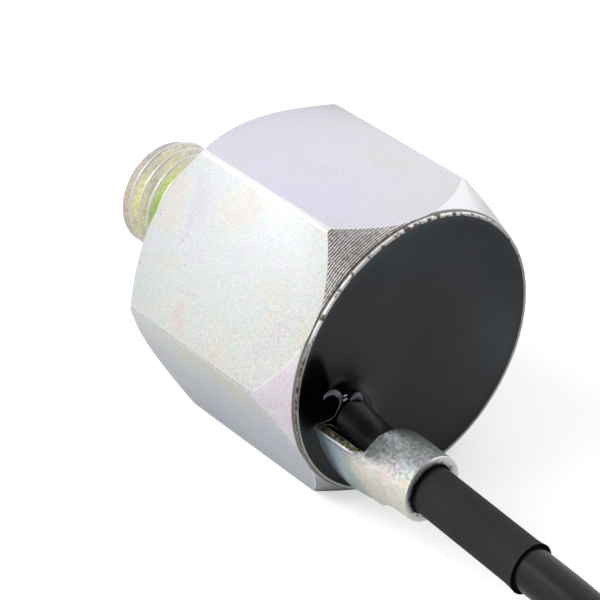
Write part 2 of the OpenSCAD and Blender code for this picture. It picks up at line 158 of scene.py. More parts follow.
# %% Lead
def round_curve(name, lines, facets):
    """A curve with a round section along lines of points, each a place and a radius."""
    bpy.ops.object.select_all(action="DESELECT")
    bpy.ops.curve.primitive_bezier_curve_add()
    curve = bpy.context.object
    curve.name = name
    while len(curve.data.splines) < len(lines):
        curve.data.splines.new("BEZIER")
    for spline, line in zip(curve.data.splines, lines):
        spline.bezier_points.add(len(line) - len(spline.bezier_points))
        for point, (place, radius) in zip(spline.bezier_points, line):
            point.co = place
            point.radius = radius
            point.handle_left_type = point.handle_right_type = "AUTO"
    curve.data.bevel_depth = 1
    curve.data.bevel_resolution = facets
    curve.data.use_fill_caps = True
    print(name, "runs through", sum(len(line) for line in lines), "points")
    return curve


lead = round_curve("lead", [[(place, CABLE_R) for place in route]], 8)
lead.data.splines[0].resolution_u = 6
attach(lead, "root")
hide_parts("cable", "cable_coil", "cable_tail")

# %% [markdown]
# Working with one piece at a time
#
# Most of Blender's operators act on all that is selected, and a freshly loaded frame is selected
# all over. So a few helpers come first: one makes a piece the only selected and active object, one
# puts an object's place, turn and scale into its mesh, as all pieces of the frame have it, and the
# others add and apply a modifier, join two pieces and close a mesh.

# %% Helpers for single pieces
def solo(piece):
    """Makes a piece the only selected object and the active one."""
    bpy.ops.object.select_all(action="DESELECT")
    piece.select_set(True)
    bpy.context.view_layer.objects.active = piece


def settle(piece):
    """Puts a piece's place, turn and scale into its mesh."""
    solo(piece)
    bpy.ops.object.transform_apply(location=True, rotation=True, scale=True)
    return piece


def modify(piece, kind, **settings):
    """Gives a piece a modifier with its settings, and applies it."""
    solo(piece)
    modifier = piece.modifiers.new(kind.lower(), kind)
    for name, value in settings.items():
        setattr(modifier, name, value)
    bpy.ops.object.modifier_apply(modifier=modifier.name)


def combine(piece, other, operation):
    """Cuts, joins or intersects a piece with another one, which is used up."""
    modify(piece, "BOOLEAN", operation=operation, object=other, solver="EXACT")
    bpy.data.objects.remove(other)


def close_mesh(merge=None):
    """Merges points in edit mode, if asked to, points all faces outward and ends edit mode."""
    bpy.ops.mesh.select_all(action="SELECT")
    if merge:
        bpy.ops.mesh.remove_doubles(threshold=merge)
    bpy.ops.mesh.normals_make_consistent(inside=False)
    bpy.ops.object.mode_set(mode="OBJECT")


def add_slots(piece, count):
    """Gives a piece empty slots for the materials that are made later."""
    for _ in range(count):
        piece.data.materials.append(None)


# %% [markdown]
# Turned shapes
#
# A lathe makes a shape from an outline of radius against length. Here a filled circle is set up
# across the axis and extruded from one station to the next, and each new end is resized to its
# radius, which is how such a shape is built by hand. The stations may also lead back inside. A
# tube starts as an open circle, and its last station closes on its first.

# %% Helper for turned shapes
RING_MERGE = 0.0005 * MM


def turned(name, stations, steps, ring=False):
    """A closed shape, or a closed ring, turned about X through stations of a place and a radius."""
    bpy.ops.object.select_all(action="DESELECT")
    x, r = stations[0]
    bpy.ops.mesh.primitive_circle_add(
        vertices=steps, radius=r, fill_type="NOTHING" if ring else "NGON", location=(x, 0, 0),
        rotation=(0, math.radians(90), 0))
    piece = settle(bpy.context.object)
    piece.name = name
    bpy.ops.object.mode_set(mode="EDIT")
    bpy.ops.mesh.select_mode(type="VERT")
    bpy.ops.mesh.select_all(action="SELECT")
    for next_x, next_r in stations[1:]:
        bpy.ops.mesh.extrude_region_move(TRANSFORM_OT_translate={"value": (next_x - x, 0, 0)})
        bpy.ops.transform.resize(value=(1, next_r / r, next_r / r), center_override=(next_x, 0, 0))
        x, r = next_x, next_r
    close_mesh(RING_MERGE if ring else None)
    print(name, "is turned with", len(piece.data.polygons), "faces")
    return piece


# %% [markdown]
# The hexagon body
#
# The real body is cut from hexagon bar. The lathe then turns the seat, takes a little off the six
# long edges, turns the steep chamfer at the front and bores out the cup for the sensing parts.
# So the same is done here: a six-sided bar is intersected with everything that the lathe leaves.
# The curved borders between the flats and the chamfers then come out by themselves. A narrow
# bevel on the sharp edges stands for the burr that catches the light. It has a material of its
# own, which the rim and all inside it are left without.

# %% Hexagon body
FRONT_CHAMFER = math.radians(57)
SEAT_CHAMFER = math.radians(45)
FRONT_L = (CORNER_R - RIM_R) * math.tan(FRONT_CHAMFER)
SEAT_L = (CORNER_R - SEAT_R) * math.tan(SEAT_CHAMFER)
LIP_X = BODY_L - RIM_LIP
BORE_END = 4.5 * MM
POST_R = 4 * MM
POST_TOP = 19.9 * MM
BURR = 0.07 * MM
BURR_FROM_R = RIM_R + 0.25 * MM
SPARE_L = 2 * MM

bpy.ops.object.select_all(action="DESELECT")
bpy.ops.mesh.primitive_cylinder_add(
    vertices=6, radius=HEX_POINT_R, depth=BODY_L + SPARE_L, location=(BODY_L / 2, 0, 0),
    rotation=(0, math.radians(90), 0))
body = settle(bpy.context.object)
body.name = "sensor_body"
lathe_limits = turned("lathe_limits", [
    (0, SEAT_R), (SEAT_L, CORNER_R), (LIP_X - FRONT_L, CORNER_R), (LIP_X, RIM_R), (BODY_L, RIM_R),
    (BODY_L, BORE_R), (BORE_END, BORE_R), (BORE_END, POST_R), (POST_TOP, POST_R),
], 256)
combine(body, lathe_limits, "INTERSECT")
add_slots(body, 2)
modify(body, "BEVEL", width=BURR, segments=1, limit_method="ANGLE", angle_limit=math.radians(15),
       material=1)
for face in body.data.polygons:
    if math.hypot(face.center.y, face.center.z) < BURR_FROM_R:
        face.material_index = 0
print("body has", len(body.data.polygons), "faces")

# %% [markdown]
# The threaded stud
#
# The stud carries an M12 thread with a pitch of 1.5 mm. A thread is one profile that climbs by a
# pitch with each turn, so the profile of a single pitch is drawn as a line of edges and wound up
# by a Screw modifier. The wound skin is cut square at both ends and closed, and then the lathe's
# outline of the stud is intersected with it, which gives the chamfered tip and the relief behind
# the seat.

# %% Profile of one pitch
PITCH = 1.5 * MM
ROOT_R = STUD_R - 0.86 * MM
FILLET_R = ROOT_R + 0.06 * MM
EDGE_R = STUD_R - 0.05 * MM
THREAD_PROFILE = [
    (0, ROOT_R), (0.12, ROOT_R), (0.22, FILLET_R), (0.43, EDGE_R), (0.47, STUD_R),
    (0.60, STUD_R), (0.64, EDGE_R), (0.85, FILLET_R), (0.95, ROOT_R), (1, ROOT_R),
]

bpy.ops.object.select_all(action="DESELECT")
bpy.ops.mesh.primitive_plane_add(size=MM)
stud = bpy.context.object
stud.name = "stud"
bpy.ops.object.mode_set(mode="EDIT")
bpy.ops.mesh.merge(type="CENTER")
share, r = THREAD_PROFILE[0]
bpy.ops.transform.translate(value=(-STUD_L - 2 * PITCH, 0, r))
for next_share, next_r in THREAD_PROFILE[1:]:
    step = ((next_share - share) * PITCH, 0, next_r - r)
    bpy.ops.mesh.extrude_region_move(TRANSFORM_OT_translate={"value": step})
    share, r = next_share, next_r
bpy.ops.object.mode_set(mode="OBJECT")
print("profile has", len(stud.data.vertices), "points")

# %% Wound thread
THREAD_TURNS = 12
THREAD_END = -2.4 * MM
RELIEF_FROM = -1.5 * MM
RELIEF_TO = -0.3 * MM
RELIEF_R = ROOT_R - 0.05 * MM
SHOULDER_R = RELIEF_R + 0.3 * MM
INTO_BODY = 0.5 * MM
CUTS = ((-STUD_L - 0.1 * MM, True), (INTO_BODY + 0.1 * MM, False))

modify(stud, "SCREW", axis="X", screw_offset=PITCH, iterations=THREAD_TURNS, steps=72,
       render_steps=72, use_merge_vertices=True, merge_threshold=0.001 * MM)
bpy.ops.object.mode_set(mode="EDIT")
for x, behind in CUTS:
    bpy.ops.mesh.select_all(action="SELECT")
    bpy.ops.mesh.bisect(plane_co=(x, 0, 0), plane_no=(1, 0, 0), use_fill=True, clear_inner=behind,
                        clear_outer=not behind)
close_mesh(merge=0.002 * MM)
stud_limits = turned("stud_limits", [
    (-STUD_L, STUD_R - STUD_TIP), (-STUD_L + STUD_TIP, STUD_R), (THREAD_END, STUD_R),
    (RELIEF_FROM, RELIEF_R), (RELIEF_TO, RELIEF_R), (0, SHOULDER_R), (INTO_BODY, SHOULDER_R),
], 144)
combine(stud, stud_limits, "INTERSECT")
combine(body, stud, "UNION")
solo(body)
bpy.ops.object.shade_smooth_by_angle(angle=math.radians(28))
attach(body, "root")
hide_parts("hex_body")
print("body with stud has", len(body.data.polygons), "faces")

# %% [markdown]
# The resin
#
# After the sensing parts are fitted, the cup is filled with black resin, which runs level and then
# creeps a little up whatever stands in it, above all the lead, and the cup's wall. So the face is
# turned as many close rings, which are then lifted by their distance from those two. The resin
# stands as high in front of the lead as beside it but farther out, so the distance is squeezed
# along the lead's lean. Inside, the stations lead back round the stack, so the resin is hollow
# where parts sit.

# %% Resin
RING_STEP = 0.25 * MM
ring_count = round(BORE_R / RING_STEP)
face_rings = [(FACE_X, BORE_R * (i + 1) / ring_count) for i in range(ring_count)]
inside = [
    (4.5, 14.6), (4.5, 10), (9.5, 10), (9.5, 10.5), (14.5, 10.5), (14.5, 7.5), (15.4, 7.5),
    (19.4, 7.5), (19.4, 4), (19.9, 4),
]
resin = turned("resin", face_rings + [(x * MM, r * MM) for x, r in inside], 256)

# %% Resin that creeps up the lead and the wall
LEAD_CLIMB, LEAD_REACH = 1.3 * MM, 1.1 * MM
RIM_CLIMB, RIM_REACH = 0.13 * MM, 0.4 * MM
SQUEEZE = 0.62
ROOT_AT = Vector(LEAD_ROUTE[1][1:]) * MM
LEAD_LEAN = Vector([b - a for a, b in zip(LEAD_ROUTE[1][1:], LEAD_ROUTE[2][1:])]).normalized()


def climb(distance, height, reach):
    """Height of the creeping resin at a distance from what it creeps up."""
    return height * math.exp(-max(0, distance) / reach)


highest = 0
for vertex in resin.data.vertices:
    if vertex.co.x > FACE_X - 0.01 * MM:
        place = Vector((vertex.co.y, vertex.co.z))
        away = place - ROOT_AT
        along = away.dot(LEAD_LEAN)
        across = away - along * LEAD_LEAN
        lead_gap = math.hypot(across.length, along * SQUEEZE) - CABLE_R
        lift = climb(BORE_R - place.length, RIM_CLIMB, RIM_REACH)
        lift += climb(lead_gap, LEAD_CLIMB, LEAD_REACH)
        vertex.co.x += lift
        highest = max(highest, lift)
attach(resin, "root")
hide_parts("potting")
solo(resin)
bpy.ops.object.shade_smooth_by_angle(angle=math.radians(40))
print("resin climbs", round(highest / MM, 2), "mm")

# %% [markdown]
# Drawn resin
#
# The resin that crept up the lead was drawn out to the clip's corner while it set. It left an arc
# over the painted dark pool, which runs out into a thin thread, a second short one, a bead above
# the lead and two small drops. They are curves with a round bevel, thick and thin by their points,
# and lie half in the face. Their upper parts are painted pale lilac as a reflection, and the drops
# are painted light grey as glints.

# %% Drawn resin
DRAWN_RESIN = [
    [(26.49, -12.02, -0.23, 0.09), (26.53, -11.77, 0.09, 0.19), (26.63, -11.37, 0.26, 0.27),
     (26.77, -10.99, 0.25, 0.30), (26.99, -10.67, 0.02, 0.29), (27.10, -10.42, -0.54, 0.19),
     (27.12, -10.44, -1.09, 0.10), (27.12, -10.72, -1.67, 0.07), (27.12, -11.00, -2.13, 0.07),
     (27.10, -11.35, -2.38, 0.08), (26.73, -11.76, -2.71, 0.07), (26.40, -12.21, -2.99, 0.06),
     (26.19, -12.64, -3.28, 0.08), (26.16, -12.78, -3.52, 0.10)],
    [(26.49, -12.03, -3.08, 0.05), (26.75, -11.63, -3.15, 0.07), (27.06, -11.27, -3.24, 0.08),
     (27.14, -10.80, -3.64, 0.08), (27.52, -10.63, -3.89, 0.04)],
    [(27.15, -9.25, -1.15, 0.10), (27.12, -8.80, -0.95, 0.28), (27.12, -8.30, -0.95, 0.38),
     (27.15, -7.95, -1.40, 0.28), (27.30, -7.75, -1.90, 0.10)],
    [(27.12, -10.06, -0.34, 0.09), (27.12, -9.68, -0.37, 0.09)],
    [(27.12, -10.09, -0.84, 0.11), (27.12, -9.65, -0.78, 0.11)],
]
FIRST_DROP = 3
bead = round_curve("drawn_resin", [
    [(Vector(place) * MM, thickness * MM) for *place, thickness in line] for line in DRAWN_RESIN
], 4)
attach(bead, "root")

# %% [markdown]
# The cable clip
#
# The clip is a T-shaped blank, cut from 0.9 mm sheet. Its stem is curved and stands in the resin,
# and its two wings are rolled round the sleeve until they meet. A flat grid is cut to the T, every
# point is then moved to where the press would take it, and the sheet gets its thickness last, so
# that it is equally thick in the foot, in the bend and in the rolled collar.

# %% Sizes of the clip
SHEET_T = 0.9 * MM
FOOT_X = 20.5 * MM
COLLAR_X = 32 * MM
COLLAR_END = 37.5 * MM
KEEL = 13.2 * MM
KEEL_SIDE = 1.9 * MM
FOOT_NEAR = -3.3 * MM
FOOT_FAR = 7.1 * MM
FOOT_TAPER = 2.8 * MM
FOOT_CURVE = 24 * MM
BEND_L = 1.1 * MM
COLLAR_R = 3.45 * MM
COLLAR_SHIFT = 0.5 * MM
FLARE = 1.1 * MM
SQUARER_BELOW = 1.8
FLATTER_ABOVE = 0.4
LEAD_SIDE = 1.55 * MM
LEAD_OUT = 9.75 * MM
LEAD_PITCH = math.radians(4.3)
DROOP = math.tan(LEAD_PITCH)
CLIP_ROLL = math.radians(60)
print("lead droops by", round(DROOP, 4), "of its length in the collar")

# %% Places on the clip
def from_clip(x, side, height):
    """A place in the sensor's frame from the clip's own, in which the foot lies below the lead."""
    c, s = math.cos(CLIP_ROLL), math.sin(CLIP_ROLL)
    return Vector((x, side * c + height * s, -side * s + height * c))


def oval(a, low, high, below, above, degrees):
    """A place on an oval that is squarer below than above."""
    c, s = math.cos(math.radians(degrees)), math.sin(math.radians(degrees))
    e = 2 / (below if s < 0 else above)
    return (math.copysign(a * abs(c) ** e, c),
            math.copysign((low if s < 0 else high) * abs(s) ** e, s))


def collar_place(x, degrees):
    """A place on the outside of the rolled collar, as side and height in the clip's frame."""
    open_still = (1 - clamped((x - COLLAR_X) / (COLLAR_END - COLLAR_X))) ** 3
    reach = max(x, COLLAR_X) - COLLAR_END
    lead_y = LEAD_SIDE + reach * DROOP * math.sin(CLIP_ROLL)
    lead_z = -LEAD_OUT - reach * DROOP * math.cos(CLIP_ROLL)
    y, z = oval(COLLAR_R + FLARE * open_still, KEEL + lead_z, COLLAR_R,
                2 + SQUARER_BELOW * open_still, 2 - FLATTER_ABOVE * open_still, degrees)
    return lead_y + COLLAR_SHIFT * open_still + y, lead_z + z


def angle_at(side_length, direction):
    """The angle on the collar's back ring at a length of sheet from its lowest point."""
    degrees, walked = 270, 0
    last = Vector(collar_place(COLLAR_X, degrees))
    while walked < side_length:
        degrees += direction
        here = Vector(collar_place(COLLAR_X, degrees))
        walked += (here - last).length
        last = here
    return degrees


SEAM = 1.5
keel_y = collar_place(COLLAR_X, 270)[0]
NEAR_ANGLE = angle_at(keel_y - FOOT_NEAR, -1)
FAR_ANGLE = angle_at(FOOT_FAR - FOOT_TAPER - keel_y, 1)
print("the foot runs into the collar from", NEAR_ANGLE, "to", FAR_ANGLE, "degrees")

# %% The flat blank
FOOT_ROWS, COLLAR_ROWS = 44, 26
WING_COLUMNS, FOOT_COLUMNS = 34, 30
rows = FOOT_ROWS + COLLAR_ROWS
columns = 2 * WING_COLUMNS + FOOT_COLUMNS
bpy.ops.object.select_all(action="DESELECT")
bpy.ops.mesh.primitive_grid_add(x_subdivisions=rows, y_subdivisions=columns, size=2)
clip = bpy.context.object
clip.name = "clip"


def on_grid(place):
    """The row and the column of a place on the flat grid, which is 2 m wide."""
    return (place.x + 1) / 2 * rows, (place.y + 1) / 2 * columns


bpy.ops.object.mode_set(mode="EDIT")
bpy.ops.mesh.select_mode(type="FACE")
bpy.ops.mesh.select_all(action="DESELECT")
bpy.ops.object.mode_set(mode="OBJECT")
for face in clip.data.polygons:
    row, column = on_grid(face.center)
    in_stem = WING_COLUMNS < column < WING_COLUMNS + FOOT_COLUMNS
    face.select = row < FOOT_ROWS and not in_stem
bpy.ops.object.mode_set(mode="EDIT")
bpy.ops.mesh.delete(type="FACE")
bpy.ops.object.mode_set(mode="OBJECT")
print("blank has", len(clip.data.polygons), "faces")

# %% Bending the blank
def bent(row, column):
    """Where the press takes a point of the blank."""
    if row < FOOT_ROWS:
        x = FOOT_X + (COLLAR_X - FOOT_X) * row / FOOT_ROWS
    else:
        x = COLLAR_X + (COLLAR_END - COLLAR_X) * (row - FOOT_ROWS) / COLLAR_ROWS
    if column < WING_COLUMNS:
        degrees = 90 + SEAM + (NEAR_ANGLE - 90 - SEAM) * column / WING_COLUMNS
        return from_clip(x, *collar_place(x, degrees))
    if column > WING_COLUMNS + FOOT_COLUMNS:
        share = (column - WING_COLUMNS - FOOT_COLUMNS) / WING_COLUMNS
        return from_clip(x, *collar_place(x, FAR_ANGLE + (450 - SEAM - FAR_ANGLE) * share))
    share = (column - WING_COLUMNS) / FOOT_COLUMNS
    taper = FOOT_TAPER * clamped((x - BODY_L) / (COLLAR_X - BODY_L))
    side = FOOT_NEAR + (FOOT_FAR - taper - FOOT_NEAR) * share
    height = FOOT_CURVE - KEEL - math.sqrt(FOOT_CURVE ** 2 - (side - KEEL_SIDE) ** 2)
    ring_side, ring_height = collar_place(x, NEAR_ANGLE + (FAR_ANGLE - NEAR_ANGLE) * share)
    bend = eased((x - COLLAR_X + BEND_L) / BEND_L)
    return from_clip(x, side + (ring_side - side) * bend, height + (ring_height - height) * bend)


for vertex in clip.data.vertices:
    row, column = on_grid(vertex.co)
    vertex.co = bent(round(row), round(column))
print("clip starts at", round(min(vertex.co.x for vertex in clip.data.vertices), 4))

# %% [markdown]
# Edges of the clip
#
# A press leaves the cut edges of a sheet rough and their corners bright. So the rim that Solidify
# makes gets a slot of its own, and the sharp edges a narrow bevel with a third one. The bevel
# stops a little before the two notches between stem and wings, where it would run into itself.

# %% Thickness and edges of the clip
EDGE_ROUND = 0.16 * MM
NOTCH_REACH = 2 * MM
NOTCH_DEPTH = 0.7 * MM

add_slots(clip, 3)
modify(clip, "SOLIDIFY", thickness=SHEET_T, offset=1, use_even_offset=True, material_offset_rim=1)
bpy.ops.object.mode_set(mode="EDIT")
bpy.ops.mesh.select_mode(type="EDGE")
bpy.ops.mesh.select_all(action="DESELECT")
bpy.ops.mesh.edges_select_sharp(sharpness=math.radians(50))
bpy.ops.object.mode_set(mode="OBJECT")
notches = [bent(FOOT_ROWS, WING_COLUMNS), bent(FOOT_ROWS, WING_COLUMNS + FOOT_COLUMNS)]
for edge in clip.data.edges:
    middle = sum((clip.data.vertices[index].co for index in edge.vertices), Vector()) / 2
    from_notch = min((middle - notch).length for notch in notches)
    if from_notch < NOTCH_REACH and abs(middle.x - COLLAR_X) < NOTCH_DEPTH:
        edge.select = False
bpy.ops.object.mode_set(mode="EDIT")
bpy.ops.mesh.bevel(offset=EDGE_ROUND, segments=2, affect="EDGES", clamp_overlap=False, material=2)
bpy.ops.object.mode_set(mode="OBJECT")
bpy.ops.object.shade_smooth_by_angle(angle=math.radians(35))
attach(clip, "root")
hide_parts("cable_clip")
print("clip has", len(clip.data.polygons), "faces")

# %% [markdown]
# The sleeve
#
# A piece of shrink tubing protects the lead where the clip grips it. It was cut with shears, so
# its end is a little slanted and flared. The tube is turned with its wall, inside and outside, and
# its last rings are then widened and slanted. The cut end gets a slot of its own, for its painted
# shade.

# %% Sleeve
SLEEVE_R = 2.45 * MM
SLEEVE_FROM = -4.5 * MM
SLEEVE_TO = 13.5 * MM
SLEEVE_STEPS = 40
END_L = 1.6 * MM
END_FLARE = 0.06
END_SLANT = 0.10
LEAD_EXIT = Vector(LEAD_ROUTE[5]) * MM

inner_r = CABLE_R - 0.05 * MM
outside = [(SLEEVE_FROM + (SLEEVE_TO - SLEEVE_FROM) * i / SLEEVE_STEPS, SLEEVE_R)
           for i in range(SLEEVE_STEPS + 1)]
sleeve = turned("lead_sleeve", outside + [(SLEEVE_TO, inner_r), (SLEEVE_FROM, inner_r), outside[0]],
                64, ring=True)
add_slots(sleeve, 2)
for vertex in sleeve.data.vertices:
    x, y, z = vertex.co
    near_end = clamped((x - SLEEVE_TO + END_L) / END_L)
    flare = 1 + END_FLARE * near_end ** 2 * (math.hypot(y, z) > SLEEVE_R - 0.01 * MM)
    vertex.co = (x - END_SLANT * z * near_end, y * flare, z * flare)
for face in sleeve.data.polygons:
    at_end = face.center.x > SLEEVE_TO - 0.5 * MM and face.normal.x > 0.7
    face.material_index = 1 if at_end else 0
sleeve.location = LEAD_EXIT
sleeve.rotation_euler = (0, LEAD_PITCH, 0)
settle(sleeve)
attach(sleeve, "root")
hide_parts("sleeve")
bpy.ops.object.shade_smooth_by_angle(angle=math.radians(40))
print("sleeve has", len(sleeve.data.polygons), "faces")

# %% [markdown]
# Coil tie and plug
#
# The far end of the lead isn't in the picture: a nylon tie holds the coil, and a two-way sealed
# plug ends it. Their shapes are already right in the CAD model, but its edges are razor sharp. So
# each is copied, its flat faces are joined again, but for the plug shell's, and its edges are
# rounded as a mould leaves them.

# %% Rounded copies of CAD solids
def rounded(node, name, width, flatten=True):
    """A merged copy of a CAD solid with its edges rounded, which stands for the solid."""
    piece = bpy.data.objects.new(name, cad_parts[node].data.copy())
    bpy.context.scene.collection.objects.link(piece)
    solo(piece)
    bpy.ops.object.mode_set(mode="EDIT")
    bpy.ops.mesh.select_all(action="SELECT")
    bpy.ops.mesh.remove_doubles(threshold=0.002 * MM)
    if flatten:
        bpy.ops.mesh.dissolve_limited(angle_limit=math.radians(1.5))
    close_mesh()
    modify(piece, "BEVEL", width=width, segments=3, limit_method="ANGLE",
           angle_limit=math.radians(32))
    bpy.ops.object.shade_smooth_by_angle(angle=math.radians(35))
    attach(piece, "root")
    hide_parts(node)
    print(name, "has", len(piece.data.polygons), "faces")
    return piece


tie = rounded("coil_tie", "tie_band", 0.15 * MM)
boot = rounded("connector_boot", "plug_boot", 0.18 * MM)
shell = rounded("connector_shell", "plug_shell", 0.2 * MM, flatten=False)
seal = rounded("nose_seal", "plug_seal", 0.12 * MM)
lock = rounded("terminal_lock", "plug_lock", 0.1 * MM)
terminals = [rounded("terminal_" + side, "plug_terminal_" + side, 0.05 * MM)
             for side in ("signal", "ground")]

# %% [markdown]
# The surface and the cord
#
# The sensor lies on white paper, on one flat of its hexagon. The paper is only a stage and no part
# of the object. The lead can be laid in another way later, and where it leaves the resin is
# printed.

# %% Stage
FLOOR_SIZE = 3
bpy.ops.object.select_all(action="DESELECT")
bpy.ops.mesh.primitive_plane_add(size=FLOOR_SIZE, location=(0, 0, SURFACE_Z))
floor = bpy.context.object
floor.name = "floor"
print("lead leaves the resin at", [round(v, 4) for v in route[1]])

# %% [markdown]
# Shader nodes in code
#
# A material is a graph of nodes, and drawing it in code takes one line for each node. These
# helpers add a node and return its result, so that a formula can be written inside another one,
# from the inside out. An input takes either a value or the result of another node.

# %% Helpers for shader nodes
def fill(socket, value):
    """Links the result of another node to an input, or writes a value into it."""
    if isinstance(value, bpy.types.NodeSocket):
        socket.id_data.links.new(value, socket)
    elif socket.type == "RGBA":
        socket.default_value = (*value, 1)
    else:
        socket.default_value = value


def feed(node, **values):
    """Fills inputs of a node by their names, with an underscore in place of each space."""
    for name, value in values.items():
        fill(node.inputs[name.replace("_", " ")], value)


def add_node(tree, kind, inputs=None, **settings):
    """Adds a node with its settings, and fills its inputs."""
    made = tree.nodes.new(kind)
    for name, value in settings.items():
        setattr(made, name, value)
    for name, value in (inputs or {}).items():
        fill(made.inputs[name], value)
    return made


# %% Helpers for numbers
def math_node(tree, operation, *values):
    """Adds a Math node and returns its result."""
    return add_node(tree, "ShaderNodeMath", dict(enumerate(values)), operation=operation).outputs[0]


def vector_node(tree, operation, *values):
    """Adds a Vector Math node and returns its result, which may be a number or a vector."""
    made = add_node(tree, "ShaderNodeVectorMath", dict(enumerate(values)), operation=operation)
    return made.outputs["Value" if operation in ("DOT_PRODUCT", "LENGTH") else "Vector"]


def product(tree, first, *others):
    """Multiplies numbers, such as the masks of several places."""
    for value in others:
        first = math_node(tree, "MULTIPLY", first, value)
    return first


def scaled(tree, value, factor, offset):
    """Multiplies a number by a factor and adds an offset to it."""
    return math_node(tree, "MULTIPLY_ADD", value, factor, offset)


def map_range(tree, value, low, high, to_low=0.0, to_high=1.0):
    """Turns a range of values smoothly into another, and returns the result."""
    inputs = {0: value, 1: low, 2: high, 3: to_low, 4: to_high}
    return add_node(tree, "ShaderNodeMapRange", inputs, interpolation_type="SMOOTHSTEP").outputs[0]


def falls(tree, value, low, high):
    """A mask that is 1 below a range of values and 0 above it."""
    return map_range(tree, value, low, high, 1.0, 0.0)


def mix_number(tree, share, first, second):
    """Mixes two numbers and returns the result."""
    inputs = {0: share, 2: first, 3: second}
    return add_node(tree, "ShaderNodeMix", inputs, data_type="FLOAT").outputs[0]


# %% Helpers for colours and rays
def mix_colour(tree, share, first, second, blend="MIX"):
    """Mixes two colours and returns the result."""
    inputs = {0: share, 6: first, 7: second}
    return add_node(tree, "ShaderNodeMix", inputs, data_type="RGBA", blend_type=blend).outputs[2]


def tinted(tree, colour, tint):
    """Multiplies a colour by a tint or by a brightness."""
    return mix_colour(tree, 1.0, colour, tint, "MULTIPLY")


def ray_kinds(tree):
    """Masks of the rays from the camera, and of those from a mirror or through glass."""
    path = add_node(tree, "ShaderNodeLightPath").outputs
    in_mirror = math_node(tree, "MAXIMUM", path["Is Glossy Ray"], path["Is Transmission Ray"])
    return path["Is Camera Ray"], in_mirror


# %% [markdown]
# Light
#
# Small bright parts are photographed in a white tent: white paper all round, so that the plating
# looks pale, with only the camera's side left open and dark. The world stands for the tent. Seen
# by the camera it is plain white, a mirror sees it get darker over the camera and brighter at the
# lamp's soft box, and what is matt is lit evenly by it. One large lamp on the left gives the light
# a direction. A mirror sees the paper behind the body in a faint lilac.

# %% World
DARK_SIDE = Vector((0.45, -0.3, 0.84)).normalized()
BACK_SIDE = Vector((-0.64, 0.56, 0.52)).normalized()
LAMP_SIDE = Vector((-0.56, -0.54, 0.62)).normalized()
EVEN_LIGHT = 0.72
DARKEST = 0.14
LILAC_PAPER = (0.975, 0.955, 1.0)

world = bpy.data.worlds.new("tent")
bpy.context.scene.world = world
world.use_nodes = True
tree = world.node_tree
direction = add_node(tree, "ShaderNodeTexCoord").outputs["Generated"]
toward_dark, toward_lamp, toward_back = [
    vector_node(tree, "DOT_PRODUCT", direction, side) for side in (DARK_SIDE, LAMP_SIDE, BACK_SIDE)
]
mirrored = map_range(tree, toward_dark, 0.45, 0.97, 1.0, DARKEST)
softbox = map_range(tree, toward_lamp, 0.955, 0.99)
from_camera, in_mirror = ray_kinds(tree)
lit = mix_number(tree, in_mirror, EVEN_LIGHT, math_node(tree, "ADD", mirrored, softbox))
lilac = product(tree, map_range(tree, toward_back, 0.45, 0.95), in_mirror)
feed(tree.nodes["Background"], Strength=mix_number(tree, from_camera, lit, 1.0),
     Color=mix_colour(tree, lilac, (1, 1, 1), LILAC_PAPER))
bpy.context.scene.view_settings.view_transform = "Standard"
print("tent has", len(tree.nodes), "nodes")

# %% Lamp
LAMP_AT = (-0.25, -0.55, 0.6)
LAMP_SIZE = 0.5
LAMP_POWER = 5

bpy.ops.object.light_add(type="AREA", location=LAMP_AT)
lamp = bpy.context.object
lamp.name = "lamp"
lamp.data.size = LAMP_SIZE
lamp.data.energy = LAMP_POWER
lamp.visible_glossy = False
lamp.rotation_euler = (-lamp.location).to_track_quat("-Z", "Y").to_euler()
print("lamp of", LAMP_POWER, "W at", LAMP_AT)

# %% Floor paper
SEEN_GLOW = 0.55
MIRROR_GLOW = 0.02

paper = bpy.data.materials.new("paper")
paper.use_nodes = True
tree = paper.node_tree
from_camera, in_mirror = ray_kinds(tree)
glow = scaled(tree, from_camera, SEEN_GLOW, product(tree, in_mirror, MIRROR_GLOW))
feed(tree.nodes["Principled BSDF"], Base_Color=(0.6, 0.6, 0.6), Roughness=0.9,
     Specular_IOR_Level=0.1, Emission_Color=(1, 1, 1), Emission_Strength=glow)
floor.data.materials.clear()
floor.data.materials.append(paper)
print("floor has", paper.name)

# %% [markdown]
# Shared effects
#
# Several finishes need the same effects: a fine grain, the pastel film that a passivated zinc
# plating shows, and small specks. Each is built once as a node group with named inputs and
# outputs, and every material gives it its own values. All of them read Object coordinates, which
# are metres, so a scale of 1000 stands for one millimetre.

# %% Helpers for node groups
def new_group(name, inputs, outputs):
    """Makes a shader node group, and returns its tree, its inputs and its output node."""
    group = bpy.data.node_groups.new(name, "ShaderNodeTree")
    for socket, kind, value in inputs:
        made = group.interface.new_socket(name=socket, in_out="INPUT", socket_type=kind)
        if value is not None:
            made.default_value = value
    for socket, kind in outputs:
        group.interface.new_socket(name=socket, in_out="OUTPUT", socket_type=kind)
    given = group.nodes.new("NodeGroupInput").outputs
    return group, given, group.nodes.new("NodeGroupOutput")


def ramp(tree, value, stops):
    """Adds a colour ramp with its stops, and returns its colour."""
    made = add_node(tree, "ShaderNodeValToRGB", {0: value})
    elements = made.color_ramp.elements
    while len(elements) < len(stops):
        elements.new(0.5)
    for element, (place, colour) in zip(elements, stops):
        element.position = place
        element.color = (*colour, 1)
    return made.outputs["Color"]


def noise(tree, place, scale, detail=3.0, roughness=0.55, distortion=0.0):
    """Adds a noise and returns its value."""
    inputs = {"Vector": place, "Scale": scale, "Detail": detail, "Roughness": roughness,
              "Distortion": distortion}
    return add_node(tree, "ShaderNodeTexNoise", inputs).outputs[0]


# %% Grain, film and specks
FLOAT, COLOUR, VECTOR = "NodeSocketFloat", "NodeSocketColor", "NodeSocketVector"

